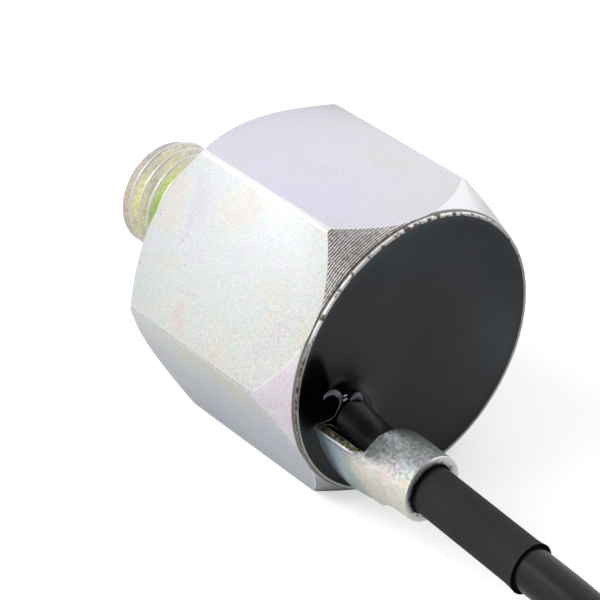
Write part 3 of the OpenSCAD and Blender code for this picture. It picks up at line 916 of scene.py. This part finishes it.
grain, given, result = new_group(
    "grain", [("Place", VECTOR, None), ("Scale", FLOAT, 6000.0), ("Contrast", FLOAT, 0.3)],
    [("Value", FLOAT), ("Height", FLOAT)])
fine = noise(grain, given["Place"], given["Scale"], 2.0, 0.7)
spread = product(grain, math_node(grain, "SUBTRACT", fine, 0.5), given["Contrast"])
feed(result, Value=math_node(grain, "ADD", spread, 1.0), Height=fine)

FILM_HUES = [
    (0.30, (0.96, 0.83, 0.93)), (0.40, (0.90, 0.89, 1.0)), (0.47, (0.96, 0.97, 1.0)),
    (0.53, (0.89, 0.99, 0.97)), (0.60, (1.0, 0.99, 0.88)), (0.70, (1.0, 0.88, 0.88)),
]
film, given, result = new_group(
    "film", [("Place", VECTOR, None), ("Scale", FLOAT, 150.0), ("Amount", FLOAT, 0.4),
             ("Metal", COLOUR, (0.8, 0.8, 0.83, 1))],
    [("Color", COLOUR), ("Patch", FLOAT)])
patch = noise(film, given["Place"], given["Scale"], 5.0, 0.62, 0.6)
full_film = tinted(film, given["Metal"], ramp(film, patch, FILM_HUES))
feed(result, Color=mix_colour(film, given["Amount"], given["Metal"], full_film), Patch=patch)

specks, given, result = new_group(
    "specks", [("Place", VECTOR, None), ("Scale", FLOAT, 700.0), ("Size", FLOAT, 0.08),
               ("Share", FLOAT, 0.3)],
    [("Mask", FLOAT)])
cells = add_node(specks, "ShaderNodeTexVoronoi")
feed(cells, Vector=given["Place"], Scale=given["Scale"])
chosen = add_node(specks, "ShaderNodeSeparateColor", {0: cells.outputs["Color"]})
near = math_node(specks, "LESS_THAN", cells.outputs["Distance"], given["Size"])
picked = math_node(specks, "LESS_THAN", chosen.outputs[0], given["Share"])
feed(result, Mask=product(specks, near, picked))
print("groups:", [group.name for group in bpy.data.node_groups])


# %% Helpers for materials
def new_material(name, roughness, metallic=0.0, **constants):
    """Makes a material and returns it with its tree, its shader and its Object coordinates."""
    material = bpy.data.materials.new(name)
    material.use_nodes = True
    tree = material.node_tree
    shader = tree.nodes["Principled BSDF"]
    feed(shader, Roughness=roughness, Metallic=metallic, **constants)
    return material, tree, shader, add_node(tree, "ShaderNodeTexCoord").outputs["Object"]


def axes(tree, place):
    """Splits a place into its X, Y and Z."""
    return add_node(tree, "ShaderNodeSeparateXYZ", {0: place}).outputs


def hypot(tree, a, b):
    """A distance from its two parts at a right angle."""
    return math_node(tree, "SQRT", math_node(tree, "ADD", product(tree, a, a), product(tree, b, b)))


def use_group(tree, group, place, **values):
    """Places a shared effect in a material, with its own values."""
    made = add_node(tree, "ShaderNodeGroup", node_tree=group)
    feed(made, Place=place, **values)
    return made.outputs


def bump(tree, shader, height, depth):
    """Raises the surface by a height of 0 to 1 times a depth in metres."""
    raised = add_node(tree, "ShaderNodeBump", {"Height": height, "Distance": depth})
    feed(shader, Normal=raised.outputs[0])


def finish(piece, *materials):
    """Gives a piece its materials."""
    add_slots(piece, len(materials) - len(piece.data.materials))
    for index, material in enumerate(materials):
        piece.data.materials[index] = material
    print(piece.name, "has", [material.name for material in materials])


# %% [markdown]
# Zinc-plated steel
#
# Bright zinc with a clear passivation is a pale, slightly lavender metal, with soft patches of
# pink, green and yellow where the film is thicker. The lathe has left fine rings on the chamfers
# and on the seat, and the plating is olive in the thread's roots. Where the surface was turned is
# worked out from its distance to the lathe's cones, so the finish follows the form. In the left
# part of the upper front chamfer the rings are brown, in the one on the left they are pinkish, and
# the lip round the rim is torn. The lower flat and the lower chamfer are painted darker as shade, a
# dark band of painted shade runs beside the lip, and the lip's upper part and the corner strip by
# the brown rings carry a painted highlight.

# %% Zinc-plated steel: where things are
# A dark band of painted shade lies on the chamfer beside the lip, from this radius out.
LIP_SHADE_R = RIM_R + 0.1 * MM

zinc, tree, shader, place = new_material("zinc_plating", 0.36, 1.0)
x, y, z = axes(tree, place)
radius = hypot(tree, y, z)
cone = math.tan(FRONT_CHAMFER)
front_gap = math_node(tree, "SUBTRACT", radius, scaled(tree, x, -1 / cone, RIM_R + LIP_X / cone))
seat_gap = math_node(tree, "SUBTRACT", math_node(tree, "SUBTRACT", radius, x), SEAT_R)
gaps = [math_node(tree, "ABSOLUTE", signed) for signed in (front_gap, seat_gap, x)]
gap = math_node(tree, "MINIMUM", math_node(tree, "MINIMUM", gaps[0], gaps[1]), gaps[2])
was_turned = falls(tree, gap, 0.01 * MM, 0.04 * MM)
on_corner = map_range(tree, radius, CORNER_R - 0.06 * MM, CORNER_R - 0.01 * MM)
on_top = map_range(tree, z, HEX_AF / 2 - 0.4 * MM, HEX_AF / 2 - 0.1 * MM)
on_lip = map_range(tree, x, LIP_X, LIP_X + 0.04 * MM)
at_front = map_range(tree, x, 12 * MM, 14 * MM)
by_rim = falls(tree, radius, LIP_SHADE_R, RIM_R + 0.22 * MM)
painted_lip_shade_band = product(tree, was_turned, by_rim, at_front)
on_stud = product(tree, math_node(tree, "LESS_THAN", radius, STUD_R + 0.1 * MM),
                  math_node(tree, "LESS_THAN", x, -0.05 * MM))
high = map_range(tree, z, 4 * MM, 8 * MM)
brown_part = product(tree, falls(tree, y, -1 * MM, 2 * MM), high)
glossy_edge_painted_highlight = product(tree, on_corner, brown_part)
pink_part = product(tree, falls(tree, y, -12 * MM, -8 * MM), falls(tree, z, 2 * MM, 5 * MM))
print("grooves stop at a radius of", round(LIP_SHADE_R, 5))

# %% Zinc-plated steel: flats
LILAC_TOP, PLAIN_TOP = (0.80, 0.79, 0.86), (0.805, 0.805, 0.815)
PALE_SIDE, SANDY_SIDE, PAINTED_SHADE_SIDE = (0.845, 0.845, 0.855), (0.83, 0.82, 0.775), (0.725, 0.74, 0.80)
SPECK = (0.30, 0.27, 0.22)

film_amount = math_node(tree, "SUBTRACT", 0.6, product(tree, on_top, 0.25))
low = falls(tree, z, -8 * MM, -1 * MM)
to_right = scaled(tree, noise(tree, place, 90.0, 3.0), 6 * MM, scaled(tree, x, 0.4, y))
top_metal = mix_colour(tree, map_range(tree, to_right, 4 * MM, 14 * MM), LILAC_TOP, PLAIN_TOP)
sandy = map_range(tree, scaled(tree, z, -1.2, x), 2 * MM, 22 * MM)
sandy = product(tree, sandy, math_node(tree, "SUBTRACT", 1.0, low))
side_metal = mix_colour(tree, sandy, PALE_SIDE, SANDY_SIDE)
# The lower flat gets a darker, bluer colour: painted shade.
metal = mix_colour(tree, low, mix_colour(tree, on_top, side_metal, top_metal), PAINTED_SHADE_SIDE)
film_on = use_group(tree, film, place, Scale=150.0, Amount=film_amount, Metal=metal)
grain_on = use_group(tree, grain, place, Scale=4800.0, Contrast=scaled(tree, sandy, 0.45, 0.5))
colour = tinted(tree, film_on["Color"], grain_on["Value"])
speck_mask = use_group(tree, specks, place, Scale=700.0, Size=0.07, Share=0.2)["Mask"]
colour = mix_colour(tree, product(tree, speck_mask, 0.4), colour, SPECK)
print("flats from", LILAC_TOP, "to", SANDY_SIDE)

# %% Zinc-plated steel: chamfers
LATHE_FEED = 0.13 * MM
BROWN = [(0.35, (0.50, 0.42, 0.36)), (0.5, (0.88, 0.79, 0.74)), (0.62, (1.0, 0.90, 0.93))]
PINK = [(0.35, (1.0, 0.83, 0.99)), (0.6, (1.0, 0.93, 1.0))]
PLAIN_CUT, PAINTED_SHADE_CUT, PAINTED_LIP_SHADE = (0.99, 0.99, 1.0), (0.46, 0.46, 0.48), (0.10, 0.09, 0.08)

wander = noise(tree, place, 600.0, 2.0)
line_phase = scaled(tree, radius, math.tau / LATHE_FEED, product(tree, wander, 7.0))
lines = scaled(tree, math_node(tree, "SINE", line_phase), 0.5, 0.5)
blotch = noise(tree, place, 1500.0, 4.0, 0.7)
sparkle = use_group(tree, grain, place, Scale=4200.0, Contrast=3.0)["Value"]
brown = tinted(tree, ramp(tree, blotch, BROWN), map_range(tree, lines, 0.0, 1.0, 0.5, 1.9))
brown = tinted(tree, brown, sparkle)
pink = ramp(tree, blotch, PINK)
pink = mix_colour(tree, 0.2, pink, tinted(tree, pink, sparkle))
cut = mix_colour(tree, pink_part, PLAIN_CUT, pink)
# The lower chamfer is painted darker: painted shade.
cut = mix_colour(tree, falls(tree, z, -11.5 * MM, -8.5 * MM), cut, PAINTED_SHADE_CUT)
cut = mix_colour(tree, product(tree, brown_part, at_front), cut, brown)
colour = mix_colour(tree, was_turned, colour, cut)
# The dark band beside the lip is painted shade.
colour = mix_colour(tree, product(tree, painted_lip_shade_band, 0.85), colour, PAINTED_LIP_SHADE)
# The corner strip beside the brown rings is painted white, a painted highlight, and it is glossier.
colour = mix_colour(tree, glossy_edge_painted_highlight, colour, (1.0, 1.0, 1.0))
print("lathe lines", round(LATHE_FEED / MM, 2), "mm apart")

# %% Zinc-plated steel: lip
TORN = [(0.4, (0.05, 0.05, 0.04)), (0.6, (0.36, 0.35, 0.29))]
LOW_LIP, PAINTED_LIT_LIP, NICK = (0.66, 0.65, 0.60), (0.92, 0.91, 0.88), (0.16, 0.14, 0.12)

nicks = map_range(tree, noise(tree, place, 1000.0, 4.0, 0.6), 0.52, 0.60)
nicks = product(tree, nicks, scaled(tree, high, 0.8, 0.2))
torn = ramp(tree, noise(tree, place, 2400.0, 3.0, 0.7), TORN)
outside_lip = map_range(tree, radius, RIM_R - 0.09 * MM, RIM_R - 0.05 * MM)
# The lip's upper part is painted brighter: a painted highlight.
lip = mix_colour(tree, high, mix_colour(tree, outside_lip, LOW_LIP, torn), PAINTED_LIT_LIP)
colour = mix_colour(tree, on_lip, colour, mix_colour(tree, nicks, lip, NICK))
print("lip starts at", round(LIP_X, 5))

# %% Zinc-plated steel: thread
STAINS = [(0.34, (0.55, 0.54, 0.42)), (0.46, (0.82, 0.80, 0.60)), (0.56, (0.92, 0.89, 0.50)),
          (0.68, (0.96, 0.78, 0.72))]
UPPER_STAIN, TIP_STAIN, CREST = (0.83, 0.82, 0.75), (0.74, 0.68, 0.71), (0.82, 0.79, 0.74)
GRASS, LIME = (0.54, 0.76, 0.24), (0.84, 0.86, 0.42)

crest = map_range(tree, radius, STUD_R - 0.16 * MM, STUD_R - 0.05 * MM)
stain = noise(tree, place, 330.0, 4.0, 0.65)
valley = ramp(tree, stain, STAINS)
valley = mix_colour(tree, map_range(tree, z, 1.5 * MM, 5 * MM, 0.0, 0.5), valley, UPPER_STAIN)
at_tip = map_range(tree, x, -13.4 * MM, -12.6 * MM, 0.8, 0.0)
valley = mix_colour(tree, at_tip, valley, TIP_STAIN)
green = mix_colour(tree, map_range(tree, stain, 0.42, 0.58), GRASS, LIME)
green_part = product(tree, map_range(tree, x, -9.9 * MM, -9.0 * MM),
                     falls(tree, x, -8.4 * MM, -7.6 * MM), falls(tree, y, -3.2 * MM, -1.0 * MM))
valley = mix_colour(tree, product(tree, green_part, 0.7), valley, green)
threads_grain = use_group(tree, grain, place, Scale=3000.0, Contrast=0.9)["Value"]
threaded = mix_colour(tree, crest, tinted(tree, valley, threads_grain), CREST)
in_valley = product(tree, on_stud, math_node(tree, "SUBTRACT", 1.0, crest))
feed(shader, Base_Color=mix_colour(tree, on_stud, colour, threaded),
     Metallic=scaled(tree, in_valley, -0.6, 1.0))
print("thread's roots are stained in", len(STAINS), "colours")

# %% Zinc-plated steel: relief and gloss
plain = math_node(tree, "SUBTRACT", 1.0, was_turned)
height = math_node(tree, "ADD", product(tree, lines, product(tree, was_turned, 2.0)),
                   product(tree, grain_on["Height"], product(tree, plain, 0.6)))
height = math_node(tree, "ADD", height, product(tree, nicks, product(tree, on_lip, -6.0)))
bump(tree, shader, height, 0.012 * MM)
gloss = map_range(tree, film_on["Patch"], 0.3, 0.7, 0.30, 0.42)
feed(shader, Roughness=math_node(tree, "SUBTRACT", gloss, product(tree, glossy_edge_painted_highlight, 0.12)))

bright_edge, tree, shader, place = new_material("bright_edge", 0.3, 1.0)
grain_on = use_group(tree, grain, place, Scale=2600.0, Contrast=0.7)
feed(shader, Base_Color=tinted(tree, (0.98, 0.97, 1.0), grain_on["Value"]))
bump(tree, shader, grain_on["Height"], 0.02 * MM)
finish(body, zinc, bright_edge)

# %% [markdown]
# The clip's steel
#
# The clip was plated after it was bent, and its surface is coarser, like sand. Its foot looks
# blue-grey and turns greenish and then beige toward the collar, which is warm and blotchy, with
# painted shade on its crown. The cut edges of the sheet are rough and yellow, and the collar's
# mouth is clean but for ragged painted shade beside the sleeve. The bevelled corners are bright.

# %% Clip steel
ALONG_CLIP = [
    (0.14, (0.72, 0.88, 0.96)), (0.40, (0.60, 0.71, 0.75)), (0.58, (0.66, 0.73, 0.68)),
    (0.68, (0.88, 0.84, 0.68)), (0.78, (1.0, 0.89, 0.85)), (0.95, (1.0, 0.93, 0.83)),
]
CROWN_SHADE = (0.56, 0.62, 0.68)

clip_steel, tree, shader, place = new_material("clip_plating", 0.36, 1.0)
x, _, z = axes(tree, place)
drift = noise(tree, place, 260.0, 3.0)
along = map_range(tree, scaled(tree, drift, 3.0 * MM, x), BODY_L, 36 * MM)
film_on = use_group(tree, film, place, Scale=340.0, Amount=0.9, Metal=(1.0, 1.0, 1.0))
colour = tinted(tree, ramp(tree, along, ALONG_CLIP), film_on["Color"])
# The collar's crown is painted darker: painted shade. Its grain is coarser there too.
on_crown = map_range(tree, scaled(tree, drift, 2.0 * MM, z), -3.9 * MM, -2.2 * MM)
colour = mix_colour(tree, on_crown, colour, tinted(tree, colour, CROWN_SHADE))
grain_on = use_group(tree, grain, place, Scale=2800.0, Contrast=scaled(tree, on_crown, 1.7, 0.7))
feed(shader, Base_Color=tinted(tree, colour, grain_on["Value"]))
bump(tree, shader, grain_on["Height"], 0.03 * MM)
print("clip changes its colour", len(ALONG_CLIP) - 1, "times along its length")

# %% Cut edges of the clip
ROUGH_EDGE = [(0.36, (0.10, 0.10, 0.08)), (0.48, (0.42, 0.42, 0.24)), (0.58, (0.74, 0.76, 0.36)),
              (0.66, (0.96, 0.96, 0.86))]
MOUTH_METAL, PAINTED_MOUTH_SHADE = (1.0, 0.98, 0.94), (0.03, 0.03, 0.02)

cut_steel, tree, shader, place = new_material("cut_edge", 0.42, 1.0)
grains = noise(tree, place, 2600.0, 3.0, 0.7)
film_on = use_group(tree, film, place, Scale=600.0, Amount=1.0, Metal=MOUTH_METAL)
grain_on = use_group(tree, grain, place, Scale=3200.0, Contrast=1.2)
mouth = tinted(tree, film_on["Color"], grain_on["Value"])
# A ragged dark ring is painted on the mouth beside the sleeve: painted shade.
from_lead = vector_node(tree, "SUBTRACT", place, LEAD_EXIT)
lead_gap = vector_node(tree, "LENGTH", vector_node(tree, "MULTIPLY", from_lead, (0, 1, 1)))
ragged = scaled(tree, math_node(tree, "SUBTRACT", grains, 0.5), 1.2 * MM, lead_gap)
painted_shade_by_sleeve = falls(tree, ragged, SLEEVE_R + 0.2 * MM, SLEEVE_R + 0.4 * MM)
mouth = mix_colour(tree, painted_shade_by_sleeve, mouth, PAINTED_MOUTH_SHADE)
at_mouth = map_range(tree, axes(tree, place)[0], 33 * MM, 35 * MM)
feed(shader, Base_Color=mix_colour(tree, at_mouth, ramp(tree, grains, ROUGH_EDGE), mouth))
bump(tree, shader, grain_on["Height"], 0.04 * MM)
finish(clip, clip_steel, cut_steel, bright_edge)

# %% [markdown]
# Resin, sleeve and lead
#
# All three are nearly black, and what sets them apart is their gloss. The resin is satin and a
# little blue toward the top, with painted shade toward the lower left and dust in it, and it set as
# smooth as glass where it crept up the lead, where it is also painted black as a dark reflection.
# To the left of the lead a deep black pool, which ends in an arch over the lead, is a painted
# reflection of the dark. The shrink sleeve is matt, with painted shade at the collar's mouth and on
# its cut end, and the lead's jacket shines.

# %% Resin
PAINTED_POOL_SIDE, PAINTED_POOL_WIDTH = 13.1 * MM, 1.9 * MM
PAINTED_POOL_Z, PAINTED_POOL_HEIGHT = 0.6 * MM, 4.2 * MM
MIDDLE_BLACK, PAINTED_SHADE_BLACK = (0.017, 0.018, 0.020), (0.011, 0.012, 0.013)
TOP_BLUE = (0.033, 0.041, 0.050)
DUST, PAINTED_REFLECTION_BLACK = (0.10, 0.10, 0.11), (0.001, 0.001, 0.001)

resin_black, tree, shader, place = new_material("casting_resin", 0.3, Specular_IOR_Level=0.32)
from_root = vector_node(tree, "SUBTRACT", place, Vector((FACE_X, *ROOT_AT)))
along = vector_node(tree, "DOT_PRODUCT", from_root, (0, *LEAD_LEAN))
across = vector_node(tree, "DOT_PRODUCT", from_root, (0, -LEAD_LEAN.y, LEAD_LEAN.x))
lead_gap = hypot(tree, product(tree, along, SQUEEZE), across)
# Where the resin crept up the lead it is glossier, and it is also painted black as a dark
# reflection.
wetted_and_painted_black = falls(tree, lead_gap, CABLE_R + 0.7 * MM, CABLE_R + 1.4 * MM)
painted_dark_arch = falls(tree, lead_gap, CABLE_R + 0.45 * MM, CABLE_R + 0.85 * MM)
_, y, z = axes(tree, place)
# The pool and the arch are a painted dark reflection: black, metallic colour on the resin.
painted_pool_y = product(tree, math_node(tree, "ADD", y, PAINTED_POOL_SIDE), 1 / PAINTED_POOL_WIDTH)
painted_pool_z = product(tree, math_node(tree, "SUBTRACT", z, PAINTED_POOL_Z), 1 / PAINTED_POOL_HEIGHT)
upper_left = map_range(tree, math_node(tree, "SUBTRACT", z, y), 4.2 * MM, 6.0 * MM)
painted_dark_pool = math_node(tree, "MAXIMUM", falls(tree, hypot(tree, painted_pool_y, painted_pool_z), 0.8, 1.15),
                 product(tree, painted_dark_arch, upper_left))
cloud = noise(tree, place, 130.0, 4.0)
toward_top = map_range(tree, math_node(tree, "ADD", z, y), -11 * MM, 11 * MM)
outward = map_range(tree, hypot(tree, y, z), 3 * MM, 13 * MM)
# Toward the lower left the rim is painted darker as shade; toward the top it is a little blue.
rim_hue = mix_colour(tree, toward_top, PAINTED_SHADE_BLACK, TOP_BLUE)
colour = mix_colour(tree, outward, MIDDLE_BLACK, rim_hue)
colour = tinted(tree, colour, map_range(tree, cloud, 0.3, 0.7, 0.8, 1.25))
dust = use_group(tree, specks, place, Scale=420.0, Size=0.05, Share=0.3)["Mask"]
colour = mix_colour(tree, product(tree, dust, 0.2), colour, DUST)
colour = mix_colour(tree, math_node(tree, "MAXIMUM", painted_dark_pool, wetted_and_painted_black), colour, PAINTED_REFLECTION_BLACK)
feed(shader, Base_Color=colour, Metallic=painted_dark_pool,
     Roughness=map_range(tree, wetted_and_painted_black, 0.0, 1.0, 0.30, 0.20))
bump(tree, shader, noise(tree, place, 900.0, 3.0), 0.006 * MM)
finish(resin, resin_black)

# %% Drawn resin and its drops
drawn_black, tree, shader, place = new_material("drawn_resin", 0.16, Specular_IOR_Level=0.8)
cloud = noise(tree, place, 800.0, 3.0)
# The upper part is painted pale lilac: a painted reflection.
painted_lilac_reflection = mix_colour(tree, cloud, (0.055, 0.05, 0.068), (0.11, 0.10, 0.13))
painted_reflection_share = map_range(tree, axes(tree, place)[2], -1.9 * MM, -0.6 * MM)
feed(shader, Base_Color=mix_colour(tree, painted_reflection_share, (0.022, 0.021, 0.018), painted_lilac_reflection))
bump(tree, shader, cloud, 0.01 * MM)

# The drops are painted light grey: painted glints.
painted_glint_drop, tree, shader, place = new_material("resin_drop_painted_glint", 0.1, Specular_IOR_Level=1.0)
cloud = noise(tree, place, 1500.0, 3.0)
feed(shader, Base_Color=mix_colour(tree, cloud, (0.22, 0.23, 0.25), (0.50, 0.52, 0.56)))
finish(bead, drawn_black, painted_glint_drop)
for number, line in enumerate(bead.data.splines):
    line.material_index = 1 if number >= FIRST_DROP else 0

# %% Sleeve and jacket
sleeve_black, tree, shader, place = new_material("shrink_sleeve", 0.62, Specular_IOR_Level=0.15)
grain_on = use_group(tree, grain, place, Scale=2500.0, Contrast=0.4)
cloud = noise(tree, place, 160.0, 3.0)
colour = mix_colour(tree, cloud, (0.020, 0.022, 0.022), (0.029, 0.028, 0.030))
colour = tinted(tree, colour, grain_on["Value"])
from_mouth = math_node(tree, "SUBTRACT", axes(tree, place)[0], COLLAR_END)
shade = map_range(tree, from_mouth, 0.1 * MM, 0.6 * MM, 0.1, 1.0)
feed(shader, Base_Color=tinted(tree, colour, shade))
bump(tree, shader, grain_on["Height"], 0.02 * MM)

# The cut end is painted nearly black: painted shade.
painted_shade_end, tree, shader, place = new_material("sleeve_cut_painted_shade", 0.7, Specular_IOR_Level=0.05)
grain_on = use_group(tree, grain, place, Scale=2500.0, Contrast=0.6)
feed(shader, Base_Color=tinted(tree, (0.002, 0.002, 0.002), grain_on["Value"]))
finish(sleeve, sleeve_black, painted_shade_end)

jacket_black, tree, shader, place = new_material("jacket", 0.24, Specular_IOR_Level=0.32)
grain_on = use_group(tree, grain, place, Scale=1200.0, Contrast=0.5)
past_clip = map_range(tree, axes(tree, place)[0], 33 * MM, 40 * MM)
colour = mix_colour(tree, past_clip, (0.0045, 0.005, 0.004), (0.010, 0.012, 0.011))
feed(shader, Base_Color=tinted(tree, colour, grain_on["Value"]))
bump(tree, shader, grain_on["Height"], 0.008 * MM)
finish(lead, jacket_black)

# %% [markdown]
# The plug and the parts inside
#
# Moulded plastic has a fine, even texture from the mould, rubber is matt with a soft sheen, and the
# parts inside the cup are turned steel, brass, ceramic and plain insulation. One helper clouds two
# near colours, adds grain and bump, and is given the values of each.

# %% Materials of the plug and the tie
def grained(name, dark, light, roughness, metallic=0.0, scale=3000.0, depth=0.02, **constants):
    """A material of two clouded colours with grain and bump, its depth in millimetres."""
    material, tree, shader, place = new_material(name, roughness, metallic, **constants)
    cloud = noise(tree, place, 250.0, 4.0)
    grain_on = use_group(tree, grain, place, Scale=scale, Contrast=0.3)
    colour = mix_colour(tree, map_range(tree, cloud, 0.35, 0.65), dark, light)
    feed(shader, Base_Color=tinted(tree, colour, grain_on["Value"]),
         Roughness=map_range(tree, cloud, 0.3, 0.7, roughness - 0.05, roughness + 0.06))
    bump(tree, shader, grain_on["Height"], depth * MM)
    return material


finish(shell, grained("moulded_grey", (0.055, 0.057, 0.062), (0.070, 0.072, 0.078), 0.48,
                      scale=4200.0, depth=0.03))
finish(boot, grained("boot_rubber", (0.012, 0.012, 0.013), (0.020, 0.020, 0.021), 0.6,
                     scale=1800.0, Specular_IOR_Level=0.3))
finish(tie, grained("nylon_band", (0.015, 0.015, 0.016), (0.024, 0.024, 0.025), 0.42, scale=2600.0))
finish(seal, grained("silicone_orange", (0.62, 0.13, 0.025), (0.72, 0.18, 0.04), 0.46,
                     scale=2200.0, depth=0.015))
finish(lock, grained("moulded_green", (0.13, 0.40, 0.24), (0.17, 0.47, 0.29), 0.4, scale=3600.0))
tin = grained("bright_tin", (0.62, 0.62, 0.60), (0.74, 0.74, 0.72), 0.3, 1.0, 5200.0, 0.01)
for terminal in terminals:
    finish(terminal, tin)

# %% Parts inside the cup
steel = grained("turned_steel", (0.46, 0.46, 0.47), (0.58, 0.58, 0.59), 0.34, 1.0, 5200.0, 0.01)
brass = grained("rolled_brass", (0.68, 0.48, 0.20), (0.80, 0.60, 0.28), 0.32, 1.0, 4200.0, 0.01)
ceramic = grained("fired_ceramic", (0.60, 0.58, 0.53), (0.74, 0.72, 0.68), 0.5, scale=6500.0)
film_plastic, tan_body, white_core, grey_core = [
    grained(name, dark, light, roughness, scale=2500.0) for name, dark, light, roughness in (
        ("insulating_film", (0.62, 0.46, 0.22), (0.72, 0.56, 0.30), 0.4),
        ("lacquered_tan", (0.55, 0.38, 0.20), (0.66, 0.48, 0.27), 0.35),
        ("core_white", (0.72, 0.71, 0.68), (0.82, 0.81, 0.78), 0.4),
        ("core_grey", (0.20, 0.20, 0.21), (0.28, 0.28, 0.29), 0.4))
]
INSIDE = {
    "clamp_nut": steel, "seismic_mass": steel, "disc_spring": steel, "ground_contact": brass,
    "signal_contact": brass, "insulating_tube": film_plastic, "lower_insulator": film_plastic,
    "upper_insulator": film_plastic, "piezo_ring": ceramic, "shunt_resistor": tan_body,
    "signal_wire": white_core, "ground_wire": grey_core,
}
for node, material in INSIDE.items():
    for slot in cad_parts[node].material_slots:
        slot.material = material
print("nodes inside with their own material:", len(INSIDE))
